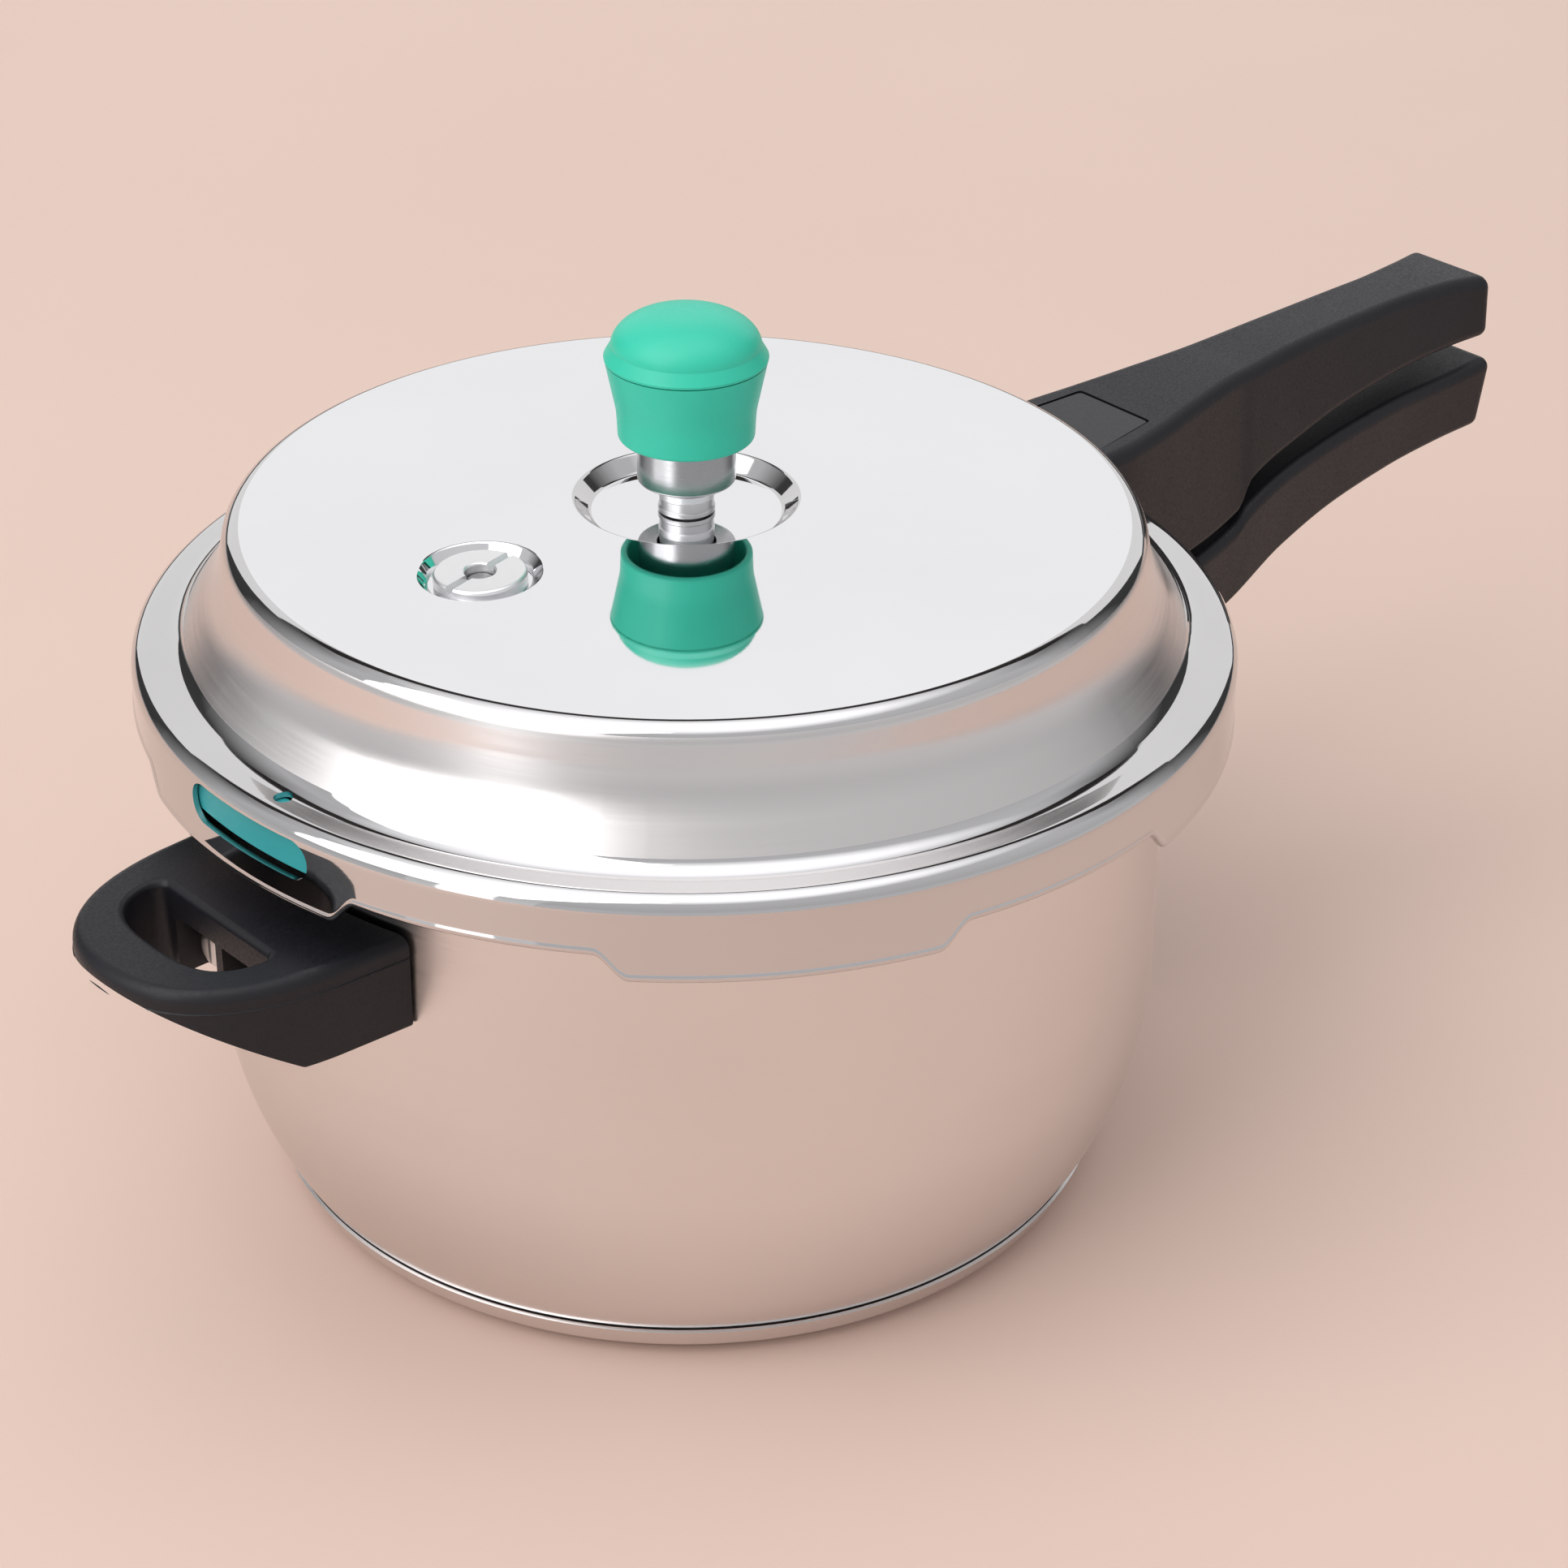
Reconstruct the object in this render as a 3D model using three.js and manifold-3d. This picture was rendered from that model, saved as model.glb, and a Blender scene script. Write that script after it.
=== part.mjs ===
// Stovetop pressure cooker of the five-litre size, with an outer lid that turns to lock.
//
// Frame, in millimetres: the origin is the centre of the base on its underside, +Z is up, and
// +X runs out along the two long handles. The helper handle is on the -X side.

import * as THREE from 'three';
import { mergeVertices, toCreasedNormals } from 'three/addons/utils/BufferGeometryUtils.js';
import Module from 'manifold-3d';

const wasm = await Module();
wasm.setup();

// Driving dimensions.
const SHEET = 1.2;             // steel sheet of the pot and the lid
const GAP = 0.3;               // air between two pieces that meet
const POT_RADIUS = 108.7;      // outside of the pot's wall
const POT_FLOOR = 9.2;         // underside of the pot's floor, on the sandwich base
const RIM_TOP = 122;           // top of the pot's rim
const LID_RADIUS = 122.5;      // outside of the lid's skirt
const FLANGE_TOP = 133.7;      // top of the lid's flat flange
const DOME_EDGE_RADIUS = 100.6;
const DOME_EDGE_TOP = 159.6;   // where the crown of the lid turns down
const CROWN_TOP = 162.4;       // highest ring of the crown, round the central dish
const DISH_FLOOR = 159;
const PIPE_RADIUS = 6;
const COLLAR_BOTTOM = 166.5;   // lower face of the weight
const CAP_RADIUS = 17.8;
const WEIGHT_TOP = 205;

// Bayonet: lugs of the lid pass between tabs of the pot, then turn under them.
const LUGS = 6;
const PITCH = 2 * Math.PI / LUGS;
const LUG_HALF_ANGLE = radians(14.7);
const LUG_RAMP_ANGLE = radians(3.4);
const HOOK_HALF_ANGLE = radians(14);
const LUG_BOTTOM = 114.8;
const SKIRT_BOTTOM = 120.5;
const HOOK_INNER_RADIUS = 112.5;
const TAB_RADIUS = 119.5;
const RIM_RADIUS = HOOK_INNER_RADIUS - 0.5;

// Where the fittings of the lid and the pot stand, as angles from the long handles.
const HELPER_ANGLE = radians(182);
const VALVE_ANGLE = Math.PI;
const VALVE_DISTANCE = 56;
const WINDOW_ANGLE = radians(183.4);
const STEAM_HOLE_ANGLE = radians(185.9);

const ROUND = 48;              // sides of the large turned pieces
const SMALL_ROUND = 28;        // sides of the pieces round the weight
const TINY_ROUND = 12;         // sides of screws, washers and holes

const MATERIALS = {
  mirrorSteel: new THREE.MeshStandardMaterial({ color: 0xd6d7d9, metalness: 1, roughness: 0.12 }),
  satinSteel: new THREE.MeshStandardMaterial({ color: 0xb9bbbe, metalness: 1, roughness: 0.4 }),
  aluminium: new THREE.MeshStandardMaterial({ color: 0xc4c6c8, metalness: 1, roughness: 0.5 }),
  bakelite: new THREE.MeshStandardMaterial({ color: 0x1c1c1e, metalness: 0, roughness: 0.6 }),
  greenPlastic: new THREE.MeshStandardMaterial({ color: 0x19b583, metalness: 0, roughness: 0.5 }),
  tealRubber: new THREE.MeshStandardMaterial({ color: 0x17a596, metalness: 0, roughness: 0.6 }),
};

function radians(degrees) {
  return degrees * Math.PI / 180;
}

// ---- Outlines in two dimensions ----

/** Rounds the corners of an outline of [across, up, corner radius] points. */
function rounded(points, steps = 2) {
  const outline = [];
  points.forEach(([x, y, radius], i) => {
    const corner = new THREE.Vector2(x, y);
    if (!radius) {
      outline.push(corner);
      return;
    }
    const back = new THREE.Vector2(...points[i - 1].slice(0, 2)).sub(corner).normalize();
    const ahead = new THREE.Vector2(...points[i + 1].slice(0, 2)).sub(corner).normalize();
    const half = Math.acos(back.dot(ahead)) / 2;
    const middle = back.clone().add(ahead).normalize();
    const centre = corner.clone().addScaledVector(middle, radius / Math.sin(half));
    const start = corner.clone().addScaledVector(back, radius / Math.tan(half)).sub(centre);
    const sense = Math.sign(back.cross(ahead));
    const sweep = -sense * (Math.PI - 2 * half);
    for (let k = 0; k <= steps; k++) {
      const spoke = start.clone().rotateAround(new THREE.Vector2(), sweep * k / steps);
      outline.push(centre.clone().add(spoke));
    }
  });
  return outline;
}

/** Closes a line into a strip of sheet, which lies on the line's left. */
function sheetOf(line, thickness) {
  const normals = line.slice(1).map((point, i) => {
    const run = point.clone().sub(line[i]);
    return new THREE.Vector2(-run.y, run.x).normalize();
  });
  const other = line.map((point, i) => {
    const before = normals[Math.max(i - 1, 0)];
    const after = normals[Math.min(i, normals.length - 1)];
    const mitre = before.clone().add(after).normalize();
    return point.clone().addScaledVector(mitre, thickness / mitre.dot(after));
  });
  return [...line, ...other.reverse()];
}

/** A piece of a ring, centred on the +X direction. */
function sector(inner, outer, halfAngle) {
  const shape = new THREE.Shape();
  shape.absarc(0, 0, outer, -halfAngle, halfAngle, false);
  shape.absarc(0, 0, inner, halfAngle, -halfAngle, true);
  shape.closePath();
  return shape;
}

// ---- Solids ----

/** Turns a profile of radius and height round the Z axis. */
function turned(profile, sides = ROUND) {
  const points = profile.map((p) => (p.isVector2 ? p.clone() : new THREE.Vector2(p[0], p[1])));
  const onAxis = points[0].x === 0 && points.at(-1).x === 0;
  if (!onAxis) points.push(points[0].clone());
  return new THREE.LatheGeometry(points, sides).rotateX(Math.PI / 2);
}

function ring(inner, outer, bottom, top, sides = TINY_ROUND) {
  return turned([[inner, bottom], [outer, bottom], [outer, top], [inner, top]], sides);
}

function rod(radius, bottom, top, sides = TINY_ROUND) {
  return turned([[0, bottom], [radius, bottom], [radius, top], [0, top]], sides);
}

function upward(shape, bottom, top) {
  const depth = top - bottom;
  return new THREE.ExtrudeGeometry(shape, { depth, bevelEnabled: false, curveSegments: 5 })
    .translate(0, 0, bottom);
}

/** A prism that runs outward along +X. Its shape lies across (Y) and up (Z). */
function outward(shape, from, to) {
  const depth = to - from;
  return new THREE.ExtrudeGeometry(shape, { depth, bevelEnabled: false, curveSegments: 4 })
    .rotateX(Math.PI / 2)
    .rotateZ(Math.PI / 2)
    .translate(from, 0, 0);
}

/** A prism across the Y axis. Its shape lies along X and up Z. */
function crosswise(shape, halfWidth) {
  return new THREE.ExtrudeGeometry(shape, { depth: 2 * halfWidth, bevelEnabled: false })
    .rotateX(Math.PI / 2)
    .translate(0, halfWidth, 0);
}

function block(x, y, z) {
  const size = [x, y, z].map(([low, high]) => high - low);
  const middle = [x, y, z].map(([low, high]) => (high + low) / 2);
  return new THREE.BoxGeometry(...size).translate(...middle);
}

function polygon(points) {
  return new THREE.Shape(points.map(([x, y]) => new THREE.Vector2(x, y)));
}

/** A bar along +X. Each station gives its place, its half widths and its heights. */
function loft(stations) {
  const edge = 0.16;
  const section = new THREE.Shape(rounded([
    [-1, 0.5], [-1, 0, edge], [1, 0, edge], [1, 1, edge], [-1, 1, edge], [-1, 0.5],
  ], 2).slice(1));
  const last = stations.length - 1;
  const bar = new THREE.ExtrudeGeometry(section, { depth: last, steps: last, bevelEnabled: false });
  const position = bar.attributes.position;
  for (let i = 0; i < position.count; i++) {
    const up = position.getY(i);
    const station = stations[Math.round(position.getZ(i))];
    const halfWidth = THREE.MathUtils.lerp(station.halfBottom, station.halfTop, up);
    const height = THREE.MathUtils.lerp(station.bottom, station.top, up);
    position.setXYZ(i, station.x, position.getX(i) * halfWidth, height);
  }
  return bar;
}

/** Makes a manifold solid from a closed geometry. */
function solid(geometry) {
  const bare = new THREE.BufferGeometry();
  bare.setAttribute('position', geometry.attributes.position);
  bare.setIndex(geometry.index);
  const welded = mergeVertices(bare);
  const corners = welded.index.array;
  const kept = [];
  for (let i = 0; i < corners.length; i += 3) {
    const [a, b, c] = corners.slice(i, i + 3);
    if (a !== b && b !== c && c !== a) kept.push(a, b, c);
  }
  return new wasm.Manifold(new wasm.Mesh({
    numProp: 3,
    vertProperties: Float32Array.from(welded.attributes.position.array),
    triVerts: Uint32Array.from(kept),
  }));
}

function geometryOf(manifold) {
  const mesh = manifold.getMesh();
  const geometry = new THREE.BufferGeometry();
  geometry.setAttribute('position', new THREE.BufferAttribute(mesh.vertProperties, 3));
  geometry.setIndex(new THREE.BufferAttribute(mesh.triVerts, 1));
  return geometry;
}

function joined(...geometries) {
  return geometryOf(geometries.map(solid).reduce((whole, part) => whole.add(part)));
}

function cut(geometry, ...tools) {
  return geometryOf(tools.map(solid).reduce((whole, tool) => whole.subtract(tool), solid(geometry)));
}

/** Copies of a geometry at every lug, or halfway between the lugs. */
function atLugs(make, offset = 0) {
  return Array.from({ length: LUGS }, (_, i) => make().rotateZ((i + offset) * PITCH));
}

// ---- Fasteners ----

/** A pan-head screw that points down: the underside of its head is at z = 0. */
function screw(shankRadius, length, headRadius, headHeight) {
  const profile = rounded([
    [0, -length], [shankRadius, -length], [shankRadius, 0], [headRadius, 0],
    [headRadius, headHeight, headHeight / 2], [0, headHeight],
  ]);
  const slot = block([-headRadius, headRadius], [-0.5, 0.5], [headHeight / 2, headHeight + 1]);
  return cut(turned(profile, TINY_ROUND), slot);
}

function hexNut(boreRadius, acrossFlats, bottom, top) {
  const corner = acrossFlats / Math.sqrt(3);
  return cut(rod(corner, bottom, top, 6), rod(boreRadius, bottom - 1, top + 1));
}

// ---- The pot ----

function potShell() {
  const underRim = RIM_TOP - SHEET;
  const outside = rounded([
    [0, POT_FLOOR], [97.2, POT_FLOOR, 1.5], [POT_RADIUS, 29.4, 80], [POT_RADIUS, 63, 60],
    [107.4, underRim, 1.6], [RIM_RADIUS, underRim],
  ], 3);
  const wall = turned(sheetOf(outside, SHEET));
  const tabLip = 1.3;
  const tabs = atLugs(() => joined(
    upward(sector(RIM_RADIUS - 0.8, TAB_RADIUS, HOOK_HALF_ANGLE), underRim, RIM_TOP),
    upward(sector(TAB_RADIUS - tabLip, TAB_RADIUS, HOOK_HALF_ANGLE), 117, RIM_TOP - 0.5),
  ));
  return joined(wall, ...tabs);
}

const COVER_LINE = [[0, 0], [91.2, 0, 3], [95.6, 3.6, 3], [97.9, POT_FLOOR - 0.6]];
const COVER_SHEET = 0.7;

function baseCover() {
  return turned(sheetOf(rounded(COVER_LINE), COVER_SHEET));
}

/** The heat-spreading disc between the floor and the cover. It follows the cover's inside. */
function baseCore() {
  const low = COVER_SHEET + GAP;
  const top = POT_FLOOR - GAP;
  return turned(rounded([[0, low], [90.8, low, 2], [94.7, 4.25, 2], [96.8, top], [0, top]]));
}

// The long handle of the pot: [x, half width at top, half width at bottom, top, bottom].
const POT_HANDLE_STATIONS = [
  [108, 19, 15.5, 103, 57], [125, 18.8, 15, 103, 62], [140, 17.4, 14, 103.4, 69],
  [152, 16, 12.9, 104.6, 75.8], [168, 14.4, 11.5, 108.6, 84], [171.5, 14.2, 11.3, 112.3, 85.8],
  [190, 13, 10.1, 118.6, 94.3], [210, 12.5, 9.7, 122.6, 100.8], [230, 12.6, 9.8, 125.4, 104.8],
  [248, 13.4, 10.9, 127, 107.6], [263.5, 14.8, 12.5, 129.4, 109.5],
];

// The long handle of the lid, in the same form.
const LID_HANDLE_STATIONS = [
  [101, 20, 20, 144.6, 106.5], [120, 19.6, 19.6, 145.3, 106.5], [135, 17.5, 18.2, 146.3, 106.8],
  [150, 14.6, 16.4, 147.8, 108.2], [168, 11.9, 14.4, 149.3, 112.2], [171, 11.6, 14.2, 149.5, 119.4],
  [190, 10.3, 13, 150.9, 125.5], [210, 9.6, 12.4, 151.9, 130.4], [230, 9.4, 12.4, 152.5, 133.4],
  [248, 10.8, 13.2, 152.7, 135.2], [261, 13.6, 14.4, 152.2, 136],
];

function stationsOf(rows) {
  return rows.map(([x, halfTop, halfBottom, top, bottom]) => ({ x, halfTop, halfBottom, top, bottom }));
}

// A bracket is a curved plate on the pot's wall with a tongue that runs into the handle.
const BRACKET_INNER = POT_RADIUS + GAP;
const BRACKET_OUTER = BRACKET_INNER + 1.5;
const TONGUE = { end: 142, halfWidth: 7, bottom: 84, top: 87 };
const POT_SCREW = { x: 130, shank: 2.5, length: 12, head: 5, headHeight: 3 };

function potHandleBracket() {
  const plate = upward(sector(BRACKET_INNER, BRACKET_OUTER, radians(7)), 70, 99);
  const tongue = block([BRACKET_OUTER - 0.8, TONGUE.end], [-TONGUE.halfWidth, TONGUE.halfWidth],
    [TONGUE.bottom, TONGUE.top]);
  const hole = rod(POT_SCREW.shank + GAP, TONGUE.bottom - 1, TONGUE.top + 1).translate(POT_SCREW.x, 0, 0);
  return cut(joined(plate, tongue), hole);
}

const POT_SCREW_SEAT = 76;     // the screw's washer bears here, up inside the handle

function potHandle() {
  const bar = loft(stationsOf(POT_HANDLE_STATIONS));
  const pocket = block([BRACKET_OUTER - 1, TONGUE.end + GAP],
    [-TONGUE.halfWidth - GAP, TONGUE.halfWidth + GAP], [TONGUE.bottom - GAP, TONGUE.top + GAP]);
  const shankHole = rod(POT_SCREW.shank + GAP, POT_SCREW_SEAT - 1, TONGUE.top + 4);
  const headHole = rod(POT_SCREW.head + 1, 50, POT_SCREW_SEAT);
  return cut(bar, rod(BRACKET_OUTER + GAP, 40, 120, ROUND), pocket,
    shankHole.translate(POT_SCREW.x, 0, 0), headHole.translate(POT_SCREW.x, 0, 0));
}

const WASHER_THICKNESS = 1;

function potHandleWasher() {
  const top = POT_SCREW_SEAT - GAP;
  return ring(POT_SCREW.shank + GAP, POT_SCREW.head, top - WASHER_THICKNESS, top)
    .translate(POT_SCREW.x, 0, 0);
}

function potHandleScrew() {
  const headTop = POT_SCREW_SEAT - WASHER_THICKNESS - 2 * GAP;
  return screw(POT_SCREW.shank, POT_SCREW.length, POT_SCREW.head, POT_SCREW.headHeight)
    .rotateX(Math.PI)
    .translate(POT_SCREW.x, 0, headTop);
}

// The helper handle is drawn along +X, then turned to its place.
const HELPER = { bottom: 85.5, top: 107.2, reach: 155, halfWidth: 33.4, knee: 129 };
const FINGER_HOLE = { near: 128.5, far: 142.6, halfWidth: 19.5 };
const HELPER_SCREW = { across: 9, z: 93, shank: 2, length: 11, head: 4, headHeight: 2.4, seat: 121 };

function helperOutline(inset = 0) {
  const side = HELPER.halfWidth - inset;
  const reach = HELPER.reach - inset;
  const shape = new THREE.Shape();
  shape.moveTo(92, -side);
  shape.lineTo(122, -side + 1.8);
  shape.bezierCurveTo(140, -side + 4.6, reach, -side * 0.45, reach, 0);
  shape.bezierCurveTo(reach, side * 0.45, 140, side - 4.6, 122, side - 1.8);
  shape.lineTo(92, side);
  shape.closePath();
  return shape;
}

function fingerHole() {
  const { near, far, halfWidth } = FINGER_HOLE;
  const shape = new THREE.Shape();
  shape.moveTo(near, -halfWidth + 2);
  shape.quadraticCurveTo(near, -halfWidth, near + 3, -halfWidth);
  shape.bezierCurveTo(far - 1, -halfWidth + 1, far, -halfWidth / 2, far, 0);
  shape.bezierCurveTo(far, halfWidth / 2, far - 1, halfWidth - 1, near + 3, halfWidth);
  shape.quadraticCurveTo(near, halfWidth, near, halfWidth - 2);
  shape.closePath();
  return upward(shape, HELPER.bottom - 5, HELPER.top + 5);
}

function atHelperScrews(make) {
  return [-1, 1].map((side) => make().translate(0, side * HELPER_SCREW.across, 0));
}

/** A rod along +X at the height of the helper's screws. */
function screwBore(radius, from, to) {
  return rod(radius, from, to).rotateY(Math.PI / 2).translate(0, 0, HELPER_SCREW.z);
}

function helperHandle() {
  const roundOver = 3;
  const { bottom, top, knee, reach } = HELPER;
  const body = new THREE.ExtrudeGeometry(helperOutline(roundOver), {
    depth: top - bottom - roundOver, bevelThickness: roundOver, bevelSize: roundOver,
    bevelSegments: 2, curveSegments: 7,
  }).translate(0, 0, bottom);
  const under = crosswise(polygon([
    [60, bottom - 10], [60, bottom], [knee, bottom], [reach + 2, 104], [reach + 2, bottom - 10],
  ]), 50);
  const bracketRoom = upward(
    sector(POT_RADIUS - 20, BRACKET_OUTER + GAP, radians(10)), bottom - 1, 103);
  const bores = atHelperScrews(() => screwBore(HELPER_SCREW.shank + 2.4, 105, 117));
  const shanks = atHelperScrews(() => screwBore(HELPER_SCREW.shank + GAP, 105, 125));
  const pockets = [[-15.5, -1.2], [1.2, 15.5]].map(
    (across) => block([HELPER_SCREW.seat, 130], across, [bottom - 5, 100]));
  return cut(body, under, rod(POT_RADIUS + GAP, 60, 130, ROUND), bracketRoom, fingerHole(),
    ...bores, ...shanks, ...pockets).rotateZ(HELPER_ANGLE);
}

function helperBracket() {
  const plate = upward(sector(BRACKET_INNER, BRACKET_OUTER, radians(9.5)), 86.5, 101);
  const bosses = atHelperScrews(() => screwBore(HELPER_SCREW.shank + 2, BRACKET_OUTER - 1.2, 116));
  const threads = atHelperScrews(() => screwBore(HELPER_SCREW.shank + GAP, 106, 118));
  return cut(joined(plate, ...bosses), ...threads).rotateZ(HELPER_ANGLE);
}

function helperScrew(side) {
  const { shank, length, head, headHeight, seat } = HELPER_SCREW;
  return screw(shank, length, head, headHeight)
    .rotateY(Math.PI / 2)
    .translate(seat + 1 + 2 * GAP, side * HELPER_SCREW.across, HELPER_SCREW.z)
    .rotateZ(HELPER_ANGLE);
}

function helperWasher(side) {
  const { shank, head, seat } = HELPER_SCREW;
  return ring(shank + GAP, head + 0.4, 0, WASHER_THICKNESS)
    .rotateY(Math.PI / 2)
    .translate(seat + GAP, side * HELPER_SCREW.across, HELPER_SCREW.z)
    .rotateZ(HELPER_ANGLE);
}

// ---- The sealing gasket ----

function sealingGasket() {
  const under = FLANGE_TOP - SHEET;
  const outer = LID_RADIUS - SHEET - 0.4;
  return turned(rounded([
    [117, 124], [outer, 124, 1], [outer, under - GAP, 2.5], [113.5, under - GAP],
    [113, 130.2], [117, 129.4], [117, 126.4], [108.4, 123.6], [108.8, RIM_TOP + GAP],
    [112, RIM_TOP + GAP],
  ]));
}

// ---- The lid ----

function lidLine() {
  return rounded([
    [PIPE_RADIUS - 1, DISH_FLOOR], [21.2, DISH_FLOOR, 1.6], [24.8, CROWN_TOP, 1.4],
    [60, 161.4, 300], [DOME_EDGE_RADIUS, DOME_EDGE_TOP, 5], [103.2, 146.5, 25],
    [112.5, FLANGE_TOP, 6], [LID_RADIUS, FLANGE_TOP, 4], [LID_RADIUS, LUG_BOTTOM],
  ]);
}

/** The notch between two lugs, with S-shaped ends. */
function lugGap() {
  const wide = LID_RADIUS * Math.sin(PITCH / 2 - LUG_HALF_ANGLE);
  const narrow = LID_RADIUS * Math.sin(PITCH / 2 - LUG_HALF_ANGLE - LUG_RAMP_ANGLE);
  const rise = SKIRT_BOTTOM - LUG_BOTTOM;
  const bend = 2.5;
  const shape = new THREE.Shape();
  shape.moveTo(-wide, LUG_BOTTOM - 2);
  shape.lineTo(wide, LUG_BOTTOM - 2);
  shape.lineTo(wide, LUG_BOTTOM);
  shape.bezierCurveTo(wide - bend, LUG_BOTTOM + rise / 4, narrow + bend, SKIRT_BOTTOM - rise / 4,
    narrow, SKIRT_BOTTOM);
  shape.lineTo(-narrow, SKIRT_BOTTOM);
  shape.bezierCurveTo(-narrow - bend, SKIRT_BOTTOM - rise / 4, -wide + bend, LUG_BOTTOM + rise / 4,
    -wide, LUG_BOTTOM);
  shape.closePath();
  return outward(shape, HOOK_INNER_RADIUS - 10, LID_RADIUS + 5);
}

/** The window in the skirt, through which the gasket shows and can vent. */
function gasketWindow() {
  const halfLength = 19.2;
  const [bottom, top] = [121.4, 130.5];
  const radius = (top - bottom) / 2 - 0.2;
  const outline = rounded([
    [0, bottom], [halfLength, bottom, radius], [halfLength, top, radius],
    [-halfLength, top, radius], [-halfLength, bottom, radius], [0, bottom],
  ]);
  return outward(new THREE.Shape(outline.slice(1)), LID_RADIUS - 5, LID_RADIUS + 5)
    .rotateZ(WINDOW_ANGLE);
}

// The safety valve sits in a dimple of its own. The crown slopes down a little towards the edge.
const CROWN_SLOPE = Math.atan2(CROWN_TOP - DOME_EDGE_TOP, DOME_EDGE_RADIUS - 24.8);
const VALVE_SURFACE = 161.4;
const DIMPLE = { radius: 13.6, floorRadius: 11, depth: 3.2, hole: 6.4 };
const VALVE_SEAT = -DIMPLE.depth - 0.1;

/** Moves a fitting from the Z axis to the place of the safety valve. */
function atValve(geometry) {
  return geometry
    .rotateY(CROWN_SLOPE)
    .translate(VALVE_DISTANCE, 0, VALVE_SURFACE)
    .rotateZ(VALVE_ANGLE);
}

function valveDimple() {
  const line = rounded([
    [DIMPLE.hole, VALVE_SEAT], [DIMPLE.floorRadius, VALVE_SEAT, 1.2],
    [DIMPLE.radius - 0.3, -0.1, 0.9], [DIMPLE.radius + 1, -0.1],
  ]).reverse();
  return atValve(turned(sheetOf(line, SHEET - 0.2), SMALL_ROUND));
}

function lidShell() {
  const sheet = turned(sheetOf(lidLine().reverse(), SHEET));
  const hooks = atLugs(() => upward(
    sector(HOOK_INNER_RADIUS, LID_RADIUS - SHEET / 2, HOOK_HALF_ANGLE), LUG_BOTTOM, LUG_BOTTOM + 1.4));
  const dimpleRoom = atValve(rod(DIMPLE.radius + 0.3, -5, 5, SMALL_ROUND));
  const steamHole = rod(2, 125, 140).translate(115.6, 0, 0).rotateZ(STEAM_HOLE_ANGLE);
  const skirt = cut(sheet, ...atLugs(lugGap, 0.5), gasketWindow(), steamHole, dimpleRoom);
  return joined(skirt, ...hooks, valveDimple());
}

// ---- The long handle of the lid ----

const LID_TONGUE = { end: 156, halfWidth: 8, bottom: 135.6, top: 138.2 };
const LID_SCREW = { x: 126, shank: 2, length: 9, head: 4.2, headHeight: 2 };
const LID_LOWER_SCREW = { x: 146, shank: 2, length: 14, head: 4.2, headHeight: 2.4, seat: 124 };

/** Side view of the lid bracket: it stands on the lid's wall and runs out over the flange. */
function lidBracketSide(extra) {
  const line = rounded([
    [104.6, 147], [107.2, 141.5, 8], [112.4, LID_TONGUE.bottom, 4], [LID_TONGUE.end, LID_TONGUE.bottom],
  ]);
  const spread = line.map((point) => point.clone().add(new THREE.Vector2(0, -extra)));
  spread[spread.length - 1].x += extra;
  return new THREE.Shape(sheetOf(spread, LID_TONGUE.top - LID_TONGUE.bottom + 2 * extra));
}

function lidHandleBracket() {
  const strip = crosswise(lidBracketSide(0), LID_TONGUE.halfWidth);
  const hole = () => rod(LID_SCREW.shank + GAP, LID_TONGUE.bottom - 2, LID_TONGUE.top + 2);
  return cut(strip, hole().translate(LID_SCREW.x, 0, 0), hole().translate(LID_LOWER_SCREW.x, 0, 0));
}

/** The lid with a little air round it, to cut the handle's inner end. */
function lidClearance() {
  const air = 0.8;
  const line = lidLine().filter((point) => point.x > 60);
  const grown = line.map((point) => [point.x + air, point.y + air / 2]);
  return turned([[0, 90], [LID_RADIUS + air, 90], ...grown.reverse(), [0, 162]]);
}

// The cover plate lies in a recess of the handle's top, over the upper screw.
const PLATE = { near: 113, far: 134.5, halfNear: 14.2, halfFar: 11.6, thickness: 1.8 };
const PLATE_SLOPE = Math.atan2(1, 15);

function coverPlate(extra, depth, height) {
  const { near, far, halfNear, halfFar } = PLATE;
  const [a, b] = [halfNear + extra, halfFar + extra];
  const shape = polygon([[near - extra, -a], [far + extra, -b], [far + extra, b], [near - extra, a]]);
  const surfaceAtZero = 145.3 - 120 * Math.tan(PLATE_SLOPE);
  return upward(shape, -depth, height)
    .applyMatrix4(new THREE.Matrix4().makeShear(0, Math.tan(PLATE_SLOPE), 0, 0, 0, 0))
    .translate(0, 0, surfaceAtZero);
}

function lidHandle() {
  const bar = loft(stationsOf(LID_HANDLE_STATIONS));
  const bracketRoom = crosswise(lidBracketSide(GAP), LID_TONGUE.halfWidth + GAP);
  const plateRoom = coverPlate(GAP, PLATE.thickness + GAP + 0.2, 8);
  const upperShank = rod(LID_SCREW.shank + GAP, 129, 146).translate(LID_SCREW.x, 0, 0);
  const upperHead = rod(LID_SCREW.head + 0.6, LID_TONGUE.top, 150).translate(LID_SCREW.x, 0, 0);
  const lowerShank = rod(LID_LOWER_SCREW.shank + GAP, 120, 142).translate(LID_LOWER_SCREW.x, 0, 0);
  const lowerHead = rod(LID_LOWER_SCREW.head + 0.8, 100, LID_LOWER_SCREW.seat)
    .translate(LID_LOWER_SCREW.x, 0, 0);
  return cut(bar, lidClearance(), bracketRoom, plateRoom, upperShank, upperHead, lowerShank, lowerHead);
}

function lidHandleCover() {
  return coverPlate(0, PLATE.thickness + 0.2, -0.2);
}

function lidHandleScrew() {
  const { x, shank, length, head, headHeight } = LID_SCREW;
  return screw(shank, length, head, headHeight).translate(x, 0, LID_TONGUE.top + GAP);
}

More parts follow.
